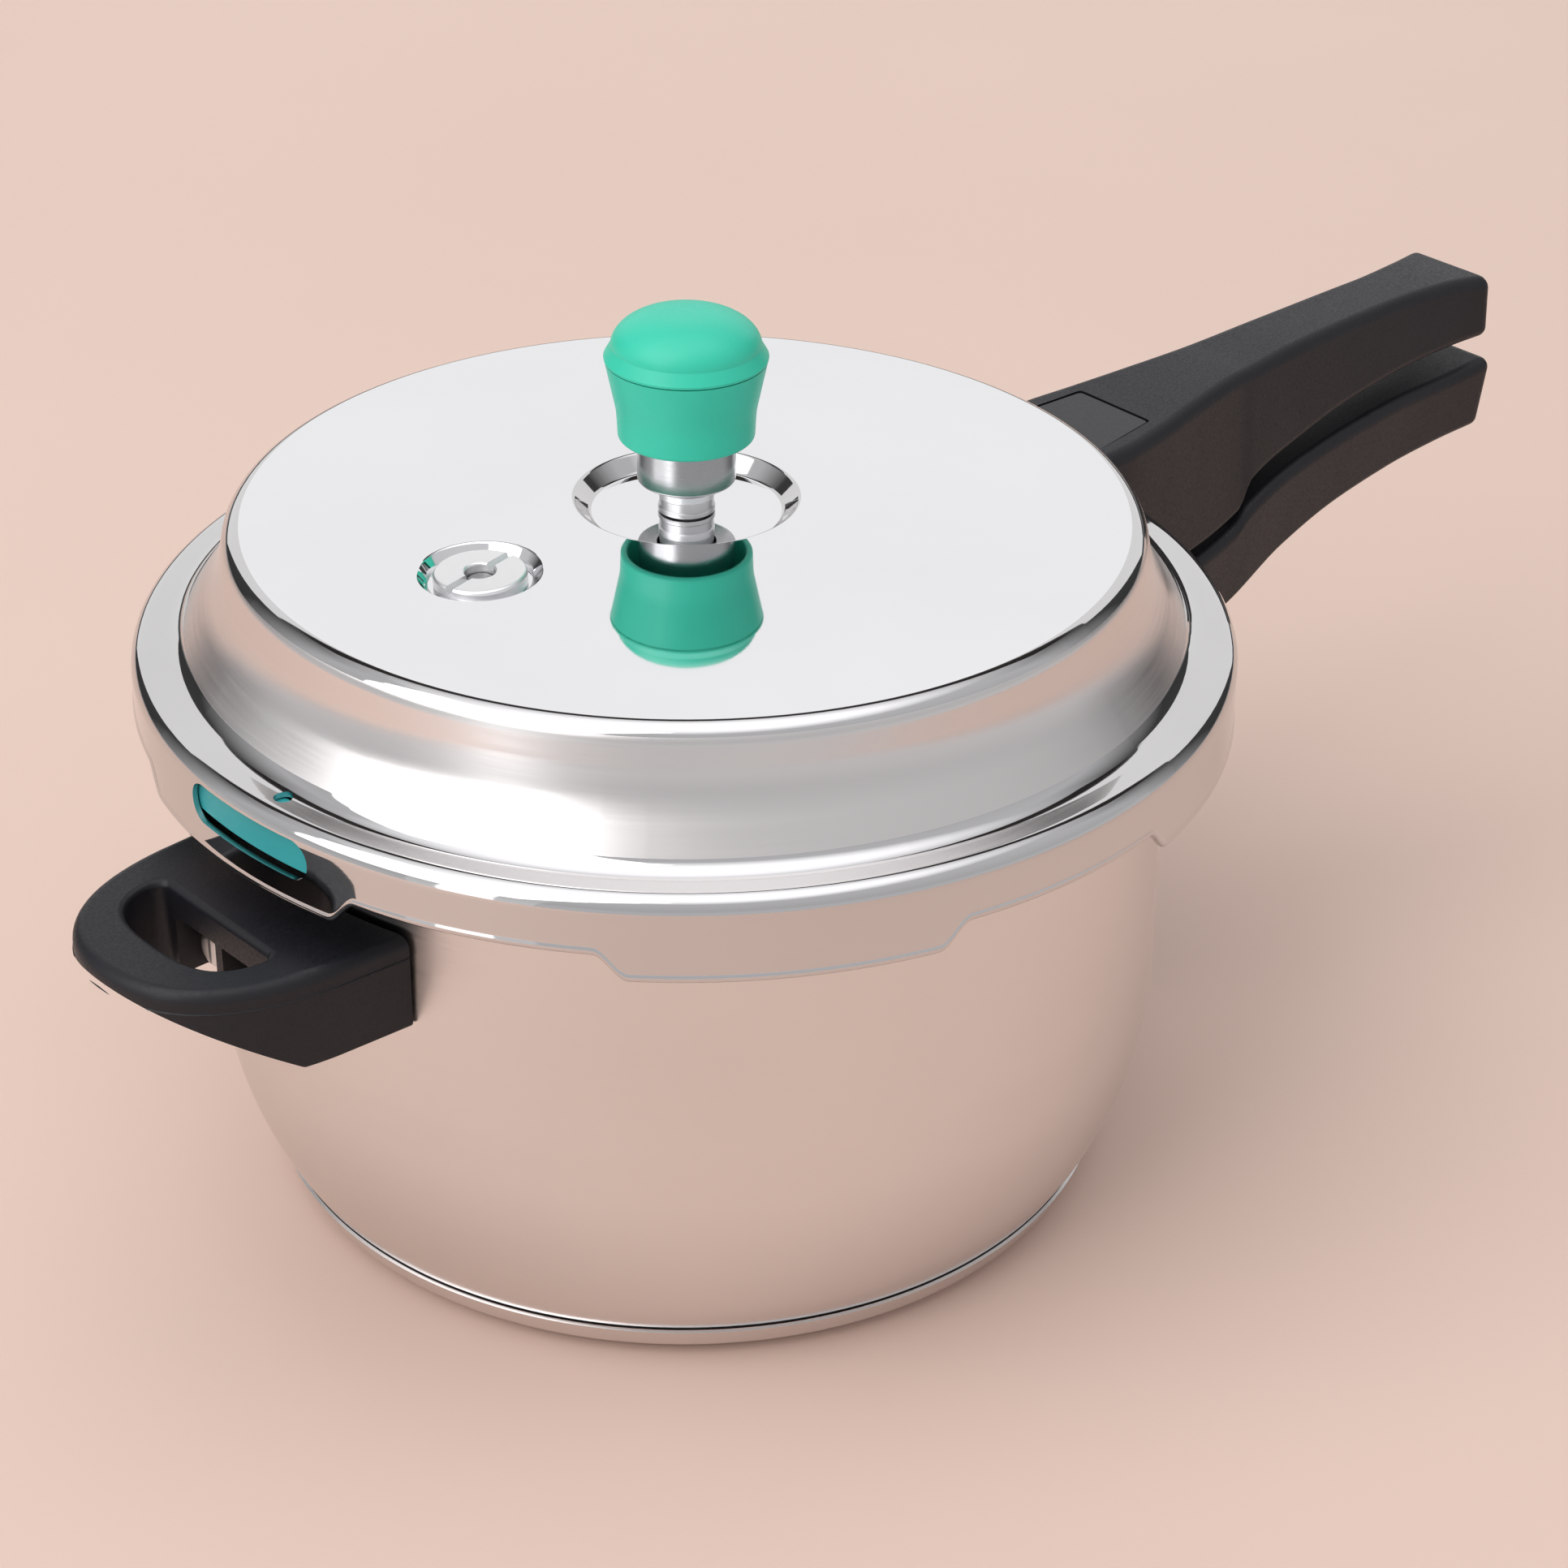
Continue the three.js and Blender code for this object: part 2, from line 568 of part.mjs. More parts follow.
function lidHandleLowerScrew() {
  const { x, shank, length, head, headHeight, seat } = LID_LOWER_SCREW;
  return screw(shank, length, head, headHeight).rotateX(Math.PI).translate(x, 0, seat - GAP);
}

// ---- Vent pipe and safety valve ----

const THREAD_RADIUS = PIPE_RADIUS - 1 - GAP;
const PIPE_TOP = 181;
const UNDER_DISH = DISH_FLOOR - SHEET;

function ventPipe() {
  const bore = 1.6;
  const foot = DISH_FLOOR + GAP;
  return turned([
    [bore, 146], [THREAD_RADIUS, 146], [THREAD_RADIUS, foot], [PIPE_RADIUS + 0.3, foot],
    [PIPE_RADIUS + 0.3, foot + 1], [PIPE_RADIUS, foot + 1.3], [PIPE_RADIUS, PIPE_TOP - 4],
    [3.4, PIPE_TOP], [bore, PIPE_TOP],
  ], SMALL_ROUND);
}

function ventPipeWasher() {
  return ring(THREAD_RADIUS + GAP, 9.5, UNDER_DISH - GAP - 1.2, UNDER_DISH - GAP, SMALL_ROUND);
}

function ventPipeNut() {
  const top = UNDER_DISH - 2 * GAP - 1.2;
  return hexNut(THREAD_RADIUS + GAP, 15, top - 5, top);
}

const VALVE = { head: 10, stem: DIMPLE.hole - 0.4, plug: 3.3 };

function safetyValveBody() {
  const bottom = VALVE_SEAT - 9;
  const seat = VALVE_SEAT + GAP;
  const top = 0.2;
  const profile = rounded([
    [VALVE.plug, bottom], [VALVE.stem, bottom], [VALVE.stem, seat], [VALVE.head, seat],
    [VALVE.head, top, 0.4], [VALVE.plug, top],
  ], 2);
  const driverSlot = block([-VALVE.head - 1, VALVE.head + 1], [-0.7, 0.7], [top - 0.8, top + 1])
    .rotateZ(radians(-12));
  return atValve(cut(turned(profile, SMALL_ROUND), driverSlot));
}

function fusiblePlug() {
  return atValve(rod(VALVE.plug - GAP, VALVE_SEAT - 8.5, -1.8, SMALL_ROUND));
}

function safetyValveWasher() {
  const top = VALVE_SEAT - SHEET - GAP;
  return atValve(ring(DIMPLE.hole, 10, top - 1.5, top, SMALL_ROUND));
}

function safetyValveNut() {
  const top = VALVE_SEAT - SHEET - 2 * GAP - 1.5;
  return atValve(hexNut(DIMPLE.hole, 18, top - 4.5, top));
}

// ---- The weight on the vent pipe ----

const COLLAR_RADIUS = 10.8;
const STEM_RADIUS = 9.4;
const STEM_TOP = 197;
const SEAM = 194.5;            // between the grip and the cap
const CLIP = { z: 173, radius: 6.9, wire: 0.55 };

function weightBody() {
  const bore = PIPE_RADIUS + 0.5;
  const groove = CLIP.radius + CLIP.wire + 0.25;
  const grooveHalf = CLIP.wire + 0.25;
  return turned(rounded([
    [0, PIPE_TOP + 0.6], [3.6, PIPE_TOP + 0.6], [bore, PIPE_TOP - 3.6], [bore, CLIP.z + grooveHalf],
    [groove, CLIP.z + grooveHalf], [groove, CLIP.z - grooveHalf], [bore, CLIP.z - grooveHalf],
    [bore, COLLAR_BOTTOM], [COLLAR_RADIUS, COLLAR_BOTTOM, 0.5], [COLLAR_RADIUS, 185],
    [STEM_RADIUS, 185], [STEM_RADIUS, STEM_TOP], [0, STEM_TOP],
  ], 2), SMALL_ROUND);
}

function weightClip() {
  return new THREE.TorusGeometry(CLIP.radius, CLIP.wire, 6, SMALL_ROUND).translate(0, 0, CLIP.z);
}

function weightGrip() {
  const inner = STEM_RADIUS + GAP;
  const skirt = COLLAR_RADIUS + 2.6;
  return turned(rounded([
    [skirt, 176.8], [14.9, 176.8, 1.2], [15.2, 183, 20], [CAP_RADIUS - 0.2, SEAM],
    [inner, SEAM], [inner, 187], [skirt, 187],
  ], 3), SMALL_ROUND);
}

function weightCap() {
  const socket = STEM_TOP + GAP;
  return turned(rounded([
    [0, socket], [STEM_RADIUS + GAP, socket], [STEM_RADIUS + GAP, SEAM + GAP],
    [CAP_RADIUS - 0.1, SEAM + GAP], [CAP_RADIUS, SEAM + 0.8], [15.8, 198],
    [14.6, 202, 5], [7, WEIGHT_TOP - 0.5, 12], [0, WEIGHT_TOP],
  ], 3), SMALL_ROUND);
}

// ---- Assembly ----

function piece(name, geometry, material) {
  const mesh = new THREE.Mesh(toCreasedNormals(geometry, radians(35)), material.clone());
  mesh.name = name;
  return mesh;
}

const { mirrorSteel, satinSteel, aluminium, bakelite, greenPlastic, tealRubber } = MATERIALS;
const cooker = new THREE.Group();
cooker.name = 'pressure_cooker';
cooker.add(
  piece('pot_shell', potShell(), mirrorSteel),
  piece('base_core', baseCore(), aluminium),
  piece('base_cover', baseCover(), mirrorSteel),
  piece('pot_handle_bracket', potHandleBracket(), satinSteel),
  piece('pot_handle', potHandle(), bakelite),
  piece('pot_handle_washer', potHandleWasher(), satinSteel),
  piece('pot_handle_screw', potHandleScrew(), satinSteel),
  piece('helper_bracket', helperBracket(), satinSteel),
  piece('helper_handle', helperHandle(), bakelite),
  piece('helper_washer_left', helperWasher(-1), satinSteel),
  piece('helper_washer_right', helperWasher(1), satinSteel),
  piece('helper_screw_left', helperScrew(-1), satinSteel),
  piece('helper_screw_right', helperScrew(1), satinSteel),
  piece('sealing_gasket', sealingGasket(), tealRubber),
  piece('lid_shell', lidShell(), mirrorSteel),
  piece('lid_handle_bracket', lidHandleBracket(), satinSteel),
  piece('lid_handle', lidHandle(), bakelite),
  piece('lid_handle_cover', lidHandleCover(), bakelite),
  piece('lid_handle_screw', lidHandleScrew(), satinSteel),
  piece('lid_handle_lower_screw', lidHandleLowerScrew(), satinSteel),
  piece('vent_pipe', ventPipe(), satinSteel),
  piece('vent_pipe_washer', ventPipeWasher(), tealRubber),
  piece('vent_pipe_nut', ventPipeNut(), satinSteel),
  piece('safety_valve_body', safetyValveBody(), satinSteel),
  piece('safety_valve_washer', safetyValveWasher(), tealRubber),
  piece('safety_valve_nut', safetyValveNut(), satinSteel),
  piece('fusible_plug', fusiblePlug(), aluminium),
  piece('weight_clip', weightClip(), satinSteel),
  piece('weight_body', weightBody(), satinSteel),
  piece('weight_grip', weightGrip(), greenPlastic),
  piece('weight_cap', weightCap(), greenPlastic),
);

export default cooker;
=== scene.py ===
"""A stovetop pressure cooker: the detailed pieces, finishes, floor, lights and camera.

Sizes are in millimetres along the part's own frame: +X along the long handles, +Z up from
the surface that the pot stands on, with the pot's axis at the origin.
"""
import cmath
import math

import bmesh
import bpy
from mathutils import Matrix, Vector


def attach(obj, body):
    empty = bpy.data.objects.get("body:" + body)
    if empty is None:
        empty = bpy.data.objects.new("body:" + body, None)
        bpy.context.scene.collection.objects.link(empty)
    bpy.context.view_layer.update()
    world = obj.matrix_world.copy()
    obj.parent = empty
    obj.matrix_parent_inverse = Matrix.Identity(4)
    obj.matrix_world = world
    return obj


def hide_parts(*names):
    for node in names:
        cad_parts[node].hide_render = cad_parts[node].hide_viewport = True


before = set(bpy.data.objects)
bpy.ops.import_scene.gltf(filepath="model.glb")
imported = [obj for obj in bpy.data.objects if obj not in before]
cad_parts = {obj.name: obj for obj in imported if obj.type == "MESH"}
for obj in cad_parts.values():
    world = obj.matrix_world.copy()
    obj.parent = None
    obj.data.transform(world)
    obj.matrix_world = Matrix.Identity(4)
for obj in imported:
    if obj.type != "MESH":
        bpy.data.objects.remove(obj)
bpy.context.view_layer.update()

MM = 0.001
GAP = 0.3  # left between pieces that touch on the real cooker
SHEET = 1.2  # thickness of the pressed steel
radians = math.radians


# ---------------------------------------------------------------- camera

# The camera's place is in metres, its angles are in degrees and its lens in millimetres.
VIEW_FROM = (-0.4355, -0.53205, 0.4852)
VIEW_HEADING = -41.15
VIEW_DOWN = 29.92
VIEW_ROLL = 0.787
SENSOR_WIDTH = 36
LENS = 79.41


def make_camera():
    data = bpy.data.cameras.new("camera")
    data.sensor_width = SENSOR_WIDTH
    data.lens = LENS
    camera = bpy.data.objects.new("camera", data)
    bpy.context.scene.collection.objects.link(camera)
    camera.matrix_world = (
        Matrix.Translation(VIEW_FROM)
        @ Matrix.Rotation(radians(VIEW_HEADING), 4, "Z")
        @ Matrix.Rotation(radians(90 - VIEW_DOWN), 4, "X")
        @ Matrix.Rotation(radians(VIEW_ROLL), 4, "Z")
    )
    bpy.context.scene.camera = camera


make_camera()


# ---------------------------------------------------------------- outlines

def rounded(points, steps=8):
    """A line through points, as complex numbers. A third number rounds a corner by that radius."""
    line = []
    for i, point in enumerate(points):
        corner = complex(point[0], point[1])
        if len(point) < 3:
            line.append(corner)
            continue
        back = complex(*points[i - 1][:2]) - corner
        ahead = complex(*points[(i + 1) % len(points)][:2]) - corner
        back, ahead = back / abs(back), ahead / abs(ahead)
        turn = cmath.phase(ahead / back)
        half = abs(turn) / 2
        middle = (back + ahead) / abs(back + ahead)
        centre = corner + middle * point[2] / math.sin(half)
        start = corner + back * point[2] / math.tan(half) - centre
        sweep = -math.copysign(math.pi - 2 * half, turn)
        for k in range(steps + 1):
            line.append(centre + start * cmath.exp(1j * sweep * k / steps))
    return line


def sheet_of(line, thickness):
    """The closed outline of a sheet whose one face is the line and whose other lies to its left."""
    normals = []
    for a, b in zip(line, line[1:]):
        normals.append(1j * (b - a) / abs(b - a))
    other = []
    for i, point in enumerate(line):
        before = normals[max(i - 1, 0)]
        after = normals[min(i, len(normals) - 1)]
        mitre = (before + after) / abs(before + after)
        other.append(point + mitre * thickness / (mitre * after.conjugate()).real)
    return line + other[::-1]


def curve(a, b, c, d, steps):
    """Points along a Bezier curve, without its first."""
    points = []
    for k in range(1, steps + 1):
        t = k / steps
        u = 1 - t
        points.append(u ** 3 * a + 3 * u * u * t * b + 3 * u * t * t * c + t ** 3 * d)
    return points


def steps_between(low, high, count):
    return [low + (high - low) * k / count for k in range(count + 1)]


# ---------------------------------------------------------------- meshes

ON_AXIS = 1e-6  # a smaller radius than this is the axis
SAME_POINT = 1e-7  # in metres
SHARP_EDGE = 32  # degrees between two faces that aren't shaded as one


def mesh_of(name, vertices, faces):
    mesh = bpy.data.meshes.new(name)
    mesh.from_pydata([Vector(v) * MM for v in vertices], [], faces)
    made = bpy.data.objects.new(name, mesh)
    bpy.context.scene.collection.objects.link(made)
    face_outward(mesh)
    return made


def face_outward(mesh):
    work = bmesh.new()
    work.from_mesh(mesh)
    bmesh.ops.remove_doubles(work, verts=work.verts, dist=SAME_POINT)
    bmesh.ops.recalc_face_normals(work, faces=work.faces)
    work.to_mesh(mesh)
    work.free()


def revolved(name, profile_at, angles):
    """A solid whose closed section, of (radius, height) points, may change with the angle."""
    vertices, columns = [], []
    first = profile_at(angles[0])
    poles = {}
    for angle in angles:
        column = []
        for j, point in enumerate(profile_at(angle)):
            if first[j].real < ON_AXIS:
                if j not in poles:
                    poles[j] = len(vertices)
                    vertices.append((0, 0, point.imag))
                column.append(poles[j])
                continue
            column.append(len(vertices))
            vertices.append((
                point.real * math.cos(angle), point.real * math.sin(angle), point.imag))
        columns.append(column)
    faces = []
    count = len(first)
    for i, column in enumerate(columns):
        other = columns[(i + 1) % len(columns)]
        for j in range(count):
            k = (j + 1) % count
            face = [column[j], column[k], other[k], other[j]]
            face = list(dict.fromkeys(face))
            if len(face) > 2:
                faces.append(face)
    return mesh_of(name, vertices, faces)


def turned(name, profile, sides):
    return revolved(name, lambda _: profile, steps_between(0, math.tau, sides)[:-1])


def stacked(name, layers):
    """A solid through closed loops of points, with flat ends."""
    vertices = [point for layer in layers for point in layer]
    count = len(layers[0])
    faces = []
    for i in range(len(layers) - 1):
        for j in range(count):
            k = (j + 1) % count
            faces.append([
                i * count + j, i * count + k, (i + 1) * count + k, (i + 1) * count + j])
    faces.append(list(range(count)))
    faces.append([(len(layers) - 1) * count + j for j in range(count)])
    return mesh_of(name, vertices, faces)


def prism(outline, low, high):
    """An upright block with that outline of complex numbers."""
    return stacked("cutter", [[(p.real, p.imag, z) for p in outline] for z in (low, high)])


def block(x, y, z):
    corners = [complex(x[0], y[0]), complex(x[1], y[0]), complex(x[1], y[1]), complex(x[0], y[1])]
    return prism(corners, *z)


def rod(radius, low, high, sides=64):
    return turned("cutter", [0 + 1j * low, radius + 1j * low, radius + 1j * high, 0 + 1j * high],
                  sides)


def placed(made, matrix):
    made.data.transform(matrix)
    return made


def at(x, y, z):
    return Matrix.Translation(Vector((x, y, z)) * MM)


def turn(angle, axis):
    return Matrix.Rotation(angle, 4, axis)


def carved(made, *others, keep="DIFFERENCE"):
    """Takes the others out of a piece, or keeps only what is in all of them."""
    for other in others:
        modifier = made.modifiers.new("carve", "BOOLEAN")
        modifier.solver = "EXACT"
        modifier.operation = keep
        modifier.object = other
    bpy.context.view_layer.update()
    evaluated = made.evaluated_get(bpy.context.evaluated_depsgraph_get())
    mesh = bpy.data.meshes.new_from_object(evaluated)
    made.modifiers.clear()
    made.data = mesh
    for other in others:
        bpy.data.objects.remove(other)
    return made


def show(made, name, material, body, *nodes):
    """Makes a finished piece of the object, which stands for those CAD nodes."""
    made.name = name
    made.data.name = name
    made.data.materials.clear()
    made.data.materials.append(material)
    made.data.shade_smooth()
    made.data.set_sharp_from_angle(angle=radians(SHARP_EDGE))
    weighted = made.modifiers.new("even shading", "WEIGHTED_NORMAL")
    weighted.mode = "FACE_AREA"
    weighted.keep_sharp = True
    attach(made, body)
    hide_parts(*nodes)
    return made


# ---------------------------------------------------------------- finishes


def material(name, **sockets):
    made = bpy.data.materials.new(name)
    made.use_nodes = True
    shader = made.node_tree.nodes["Principled BSDF"]
    for socket, value in sockets.items():
        shader.inputs[socket.replace("_", " ")].default_value = value
    return made, made.node_tree, shader


def node(tree, kind, inputs=None, **settings):
    made = tree.nodes.new(kind)
    for key, value in settings.items():
        setattr(made, key, value)
    for key, value in (inputs or {}).items():
        if isinstance(value, bpy.types.NodeSocket):
            tree.links.new(value, made.inputs[key])
        else:
            made.inputs[key].default_value = value
    return made


def mapped(tree, value, low, high, start=0.0, end=1.0):
    inputs = {"Value": value, "From Min": start, "From Max": end, "To Min": low, "To Max": high}
    return node(tree, "ShaderNodeMapRange", inputs).outputs["Result"]


def tinted(tree, value, dark, light):
    return node(tree, "ShaderNodeMix", {"Factor": value, "A": (*dark, 1), "B": (*light, 1)},
                data_type="RGBA").outputs["Result"]


def mottled(tree, scale, detail=3.0):
    """Noise through the piece's own space."""
    place = node(tree, "ShaderNodeTexCoord").outputs["Object"]
    return node(tree, "ShaderNodeTexNoise", {"Vector": place, "Scale": scale, "Detail": detail})


def spun(tree, fineness, length, centre=(0, 0, 0)):
    """Noise drawn out round an upright axis, as turning and polishing leave it."""
    place = node(tree, "ShaderNodeTexCoord").outputs["Object"]
    inputs = {0: place, 1: centre}
    place = node(tree, "ShaderNodeVectorMath", inputs, operation="SUBTRACT").outputs[0]
    height = node(tree, "ShaderNodeSeparateXYZ", {0: place}).outputs["Z"]
    inputs = {0: place, 1: (1, 1, 0)}
    flat = node(tree, "ShaderNodeVectorMath", inputs, operation="MULTIPLY").outputs[0]
    radius = node(tree, "ShaderNodeVectorMath", {0: flat}, operation="LENGTH").outputs["Value"]
    way = node(tree, "ShaderNodeVectorMath", {0: flat}, operation="NORMALIZE").outputs[0]
    slow = node(tree, "ShaderNodeVectorMath", {0: way, "Scale": length}, operation="SCALE")
    turned_in = node(tree, "ShaderNodeMath", {0: radius, 1: fineness}, operation="MULTIPLY")
    lifted = node(tree, "ShaderNodeMath", {0: height, 1: fineness}, operation="MULTIPLY")
    side = node(tree, "ShaderNodeCombineXYZ", {"Z": turned_in.outputs[0]}).outputs[0]
    inputs = {0: slow.outputs[0], 1: side}
    where = node(tree, "ShaderNodeVectorMath", inputs, operation="ADD").outputs[0]
    return node(tree, "ShaderNodeTexNoise",
                {"Vector": where, "W": lifted.outputs[0], "Scale": 1.0, "Detail": 2.0},
                noise_dimensions="4D")


def bump(tree, shader, height, strength, distance):
    inputs = {"Height": height, "Strength": strength, "Distance": distance}
    tree.links.new(node(tree, "ShaderNodeBump", inputs).outputs[0], shader.inputs["Normal"])


def steel(name, dark, light, rough, fineness, relief, anisotropic=0.0, centre=(0, 0, 0)):
    made, tree, shader = material(name, Metallic=1.0, Anisotropic=anisotropic)
    lines = spun(tree, fineness, length=3.0, centre=centre)
    clouds = mottled(tree, 14.0)
    tree.links.new(tinted(tree, clouds.outputs["Fac"], dark, light), shader.inputs["Base Color"])
    both = node(tree, "ShaderNodeMath", {0: lines.outputs["Fac"], 1: clouds.outputs["Fac"]},
                operation="ADD").outputs[0]
    tree.links.new(mapped(tree, both, *rough, 0.7, 1.3), shader.inputs["Roughness"])
    bump(tree, shader, lines.outputs["Fac"], relief, 0.00002)
    if anisotropic:
        tangent = node(tree, "ShaderNodeTangent", direction_type="RADIAL", axis="Z")
        tree.links.new(tangent.outputs[0], shader.inputs["Tangent"])
    return made


# The mirror and polished steels are a lighter and a darker copy of the lid's one steel: painted
# light on its upward crown faces, painted shade on its skirt and flange.
LIT_MIRROR = steel("mirror steel painted lighter", (0.80, 0.80, 0.82), (0.88, 0.88, 0.89), (0.02, 0.05), 900, 0.02)
SHADED_POLISHED = steel(
    "polished steel painted darker", (0.60, 0.59, 0.59), (0.68, 0.67, 0.67), (0.03, 0.06), 1500, 0.05, 0.2)
BRUSHED = steel(
    "brushed steel", (0.72, 0.69, 0.68), (0.80, 0.77, 0.76), (0.20, 0.27), 1500, 0.05, 0.85)
TURNED = steel(
    "turned steel", (0.40, 0.40, 0.41), (0.56, 0.56, 0.56), (0.18, 0.28), 5200, 0.2, 0.6)
SATIN = steel("satin steel", (0.60, 0.60, 0.61), (0.74, 0.74, 0.74), (0.28, 0.40), 2600, 0.25)
ALUMINIUM = steel(
    "pressed aluminium", (0.80, 0.80, 0.81), (0.95, 0.95, 0.95), (0.28, 0.42), 3600, 0.3,
    centre=(-0.056, 0, 0))
ALLOY = steel("fusible alloy", (0.34, 0.34, 0.35), (0.48, 0.48, 0.49), (0.40, 0.55), 700, 0.4)


def bakelite(name, rough, relief_strength):
    made, tree, shader = material(name, Specular_IOR_Level=0.38)
    clouds = mottled(tree, 60.0)
    grain = mottled(tree, 1700.0, 4.0)
    pits = mottled(tree, 420.0, 2.0)
    tree.links.new(tinted(tree, clouds.outputs["Fac"], (0.005, 0.005, 0.008),
                          (0.010, 0.010, 0.014)), shader.inputs["Base Color"])
    tree.links.new(mapped(tree, grain.outputs["Fac"], *rough, 0.3, 0.7),
                   shader.inputs["Roughness"])
    relief = node(tree, "ShaderNodeMath", {0: pits.outputs["Fac"], 1: 0.5, 2: grain.outputs["Fac"]},
                  operation="MULTIPLY_ADD")
    bump(tree, shader, relief.outputs[0], relief_strength, 0.0001)
    return made


def green_plastic():
    made, tree, shader = material("green plastic", Subsurface_Weight=0.08)
    shader.inputs["Subsurface Radius"].default_value = (0.001, 0.003, 0.002)
    clouds = mottled(tree, 90.0)
    grain = mottled(tree, 1500.0, 3.0)
    tree.links.new(tinted(tree, clouds.outputs["Fac"], (0.027, 0.550, 0.375),
                          (0.035, 0.610, 0.425)), shader.inputs["Base Color"])
    tree.links.new(mapped(tree, grain.outputs["Fac"], 0.34, 0.48, 0.3, 0.7),
                   shader.inputs["Roughness"])
    bump(tree, shader, grain.outputs["Fac"], 0.12, 0.00008)
    return made


def teal_silicone():
    made, tree, shader = material("teal silicone")
    clouds = mottled(tree, 45.0)
    grain = mottled(tree, 900.0, 3.0)
    tree.links.new(tinted(tree, clouds.outputs["Fac"], (0.022, 0.330, 0.350),
                          (0.032, 0.400, 0.425)), shader.inputs["Base Color"])
    tree.links.new(mapped(tree, grain.outputs["Fac"], 0.40, 0.55, 0.3, 0.7),
                   shader.inputs["Roughness"])
    bump(tree, shader, grain.outputs["Fac"], 0.08, 0.0001)
    return made


BAKELITE = bakelite("black bakelite", (0.36, 0.56), 0.28)
SMOOTH_BAKELITE = bakelite("smooth bakelite", (0.24, 0.36), 0.10)
GREEN = green_plastic()
TEAL = teal_silicone()


# ---------------------------------------------------------------- the pot

POT_RADIUS = 108.7
POT_FLOOR = 9.2
RIM_TOP = 122
RIM_RADIUS = 112
RIM_DEPTH = 1.4
TAB_RADIUS = 119.5
TAB_LOW = 117
BRACKET_FACE = 110.8  # how near the axis the handles come where the brackets hold them

# The lugs of the pot and the lid, in degrees round the axis.
LUG_SPACING = 60
HOOK_HALF = 13.7
HOOK_RAMP = 0.5
LUG_HALF = 14.7
LUG_RAMP = 3.4


def angles_round_lugs():
    """Angles round the rim, close together where the lugs begin and end."""
    side = steps_between(0, 13.4, 6) + steps_between(13.8, 18.6, 14) + steps_between(20, 30, 5)
    about = [-a for a in side[:0:-1]] + side[:-1]
    return [radians(LUG_SPACING * k + a) for k in range(6) for a in about]


def share_of_lug(angle, half, ramp):
    """1 inside a lug, 0 between two, and smoothly from one to the other over the ramp."""
    off = abs((math.degrees(angle) + LUG_SPACING / 2) % LUG_SPACING - LUG_SPACING / 2)
    t = min(max((half + ramp - off) / ramp, 0), 1)
    return t * t * (3 - 2 * t)


def pot_shell():
    line = rounded([
        (0, POT_FLOOR), (97.2, POT_FLOOR, 1.5), (POT_RADIUS, 29.4, 80), (POT_RADIUS, 63, 60),
        (107.4, RIM_TOP - SHEET, 1.6), (110, RIM_TOP - SHEET)], 14)
    wall = sheet_of(line, SHEET)

    def section(angle):
        tab = share_of_lug(angle, HOOK_HALF, HOOK_RAMP)
        edge = RIM_RADIUS + (TAB_RADIUS - RIM_RADIUS) * tab
        lip = RIM_TOP - RIM_DEPTH + (TAB_LOW - RIM_TOP + RIM_DEPTH) * tab
        top = RIM_TOP - 0.4
        rim = [complex(edge - 1.5, RIM_TOP - SHEET), complex(edge - 1.3, RIM_TOP - SHEET - 0.2),
               complex(edge - 1.3, lip - 0.2), complex(edge, lip - 0.2), complex(edge, top),
               complex(edge - 0.12, RIM_TOP - 0.12), complex(edge - 0.4, RIM_TOP)]
        return wall[:len(line)] + rim + wall[len(line):]

    made = revolved("pot_shell", section, angles_round_lugs())
    show(made, "pot_body", BRUSHED, "pot", "pot_shell")


def base():
    line = rounded([(0, 0), (91.2, 0, 3), (95.6, 3.6, 3), (97.9, POT_FLOOR - 0.6)], 8)
    show(turned("base", sheet_of(line, 0.7), 240), "base_cap", BRUSHED, "pot", "base_cover")
    keep_cad(["base_core"], ALUMINIUM)


# ---------------------------------------------------------------- screws, washers and nuts

def screw(shank, length, head, head_height, matrix, name, body, cad_node):
    profile = rounded([
        (0, -length), (shank - 0.5, -length), (shank, -length + 0.8), (shank, 0), (head, 0),
        (head, head_height, head_height * 0.55), (0, head_height)], 6)
    made = turned(name, profile, 64)
    slot = block((-head - 1, head + 1), (-0.5, 0.5), (head_height / 2, head_height + 1))
    made = carved(made, slot)
    show(placed(made, matrix), name, SATIN, body, cad_node)


def washer(bore, radius, low, high, matrix, name, body, cad_node, finish):
    edge = min(0.25, (high - low) / 4)
    profile = rounded([
        (bore, low, edge), (radius, low, edge), (radius, high, edge), (bore, high, edge)], 3)
    show(placed(turned(name, profile, 72), matrix), name, finish, body, cad_node)


def nut(bore, across, low, high, matrix, name, body, cad_node):
    corner = across / math.sqrt(3)
    hexagon = [corner * cmath.exp(1j * math.tau * k / 6) for k in range(6)]
    limit = [complex(0, low), complex(across / 2 - 0.2, low), complex(corner + 0.2, low + 1.1),
             complex(corner + 0.2, high - 1.1), complex(across / 2 - 0.2, high), complex(0, high)]
    made = carved(prism(hexagon, low, high), turned("cutter", limit, 96), keep="INTERSECT")
    made = carved(made, rod(bore, low - 1, high + 1, 72))
    show(placed(made, matrix), name, SATIN, body, cad_node)


def keep_cad(names, finish):
    for name in names:
        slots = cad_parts[name].data.materials
        slots.clear()
        slots.append(finish)


# ---------------------------------------------------------------- long handles

POT_SCREW_X = 130
LID_SCREW_X = 126
LOWER_SCREW_X = 146

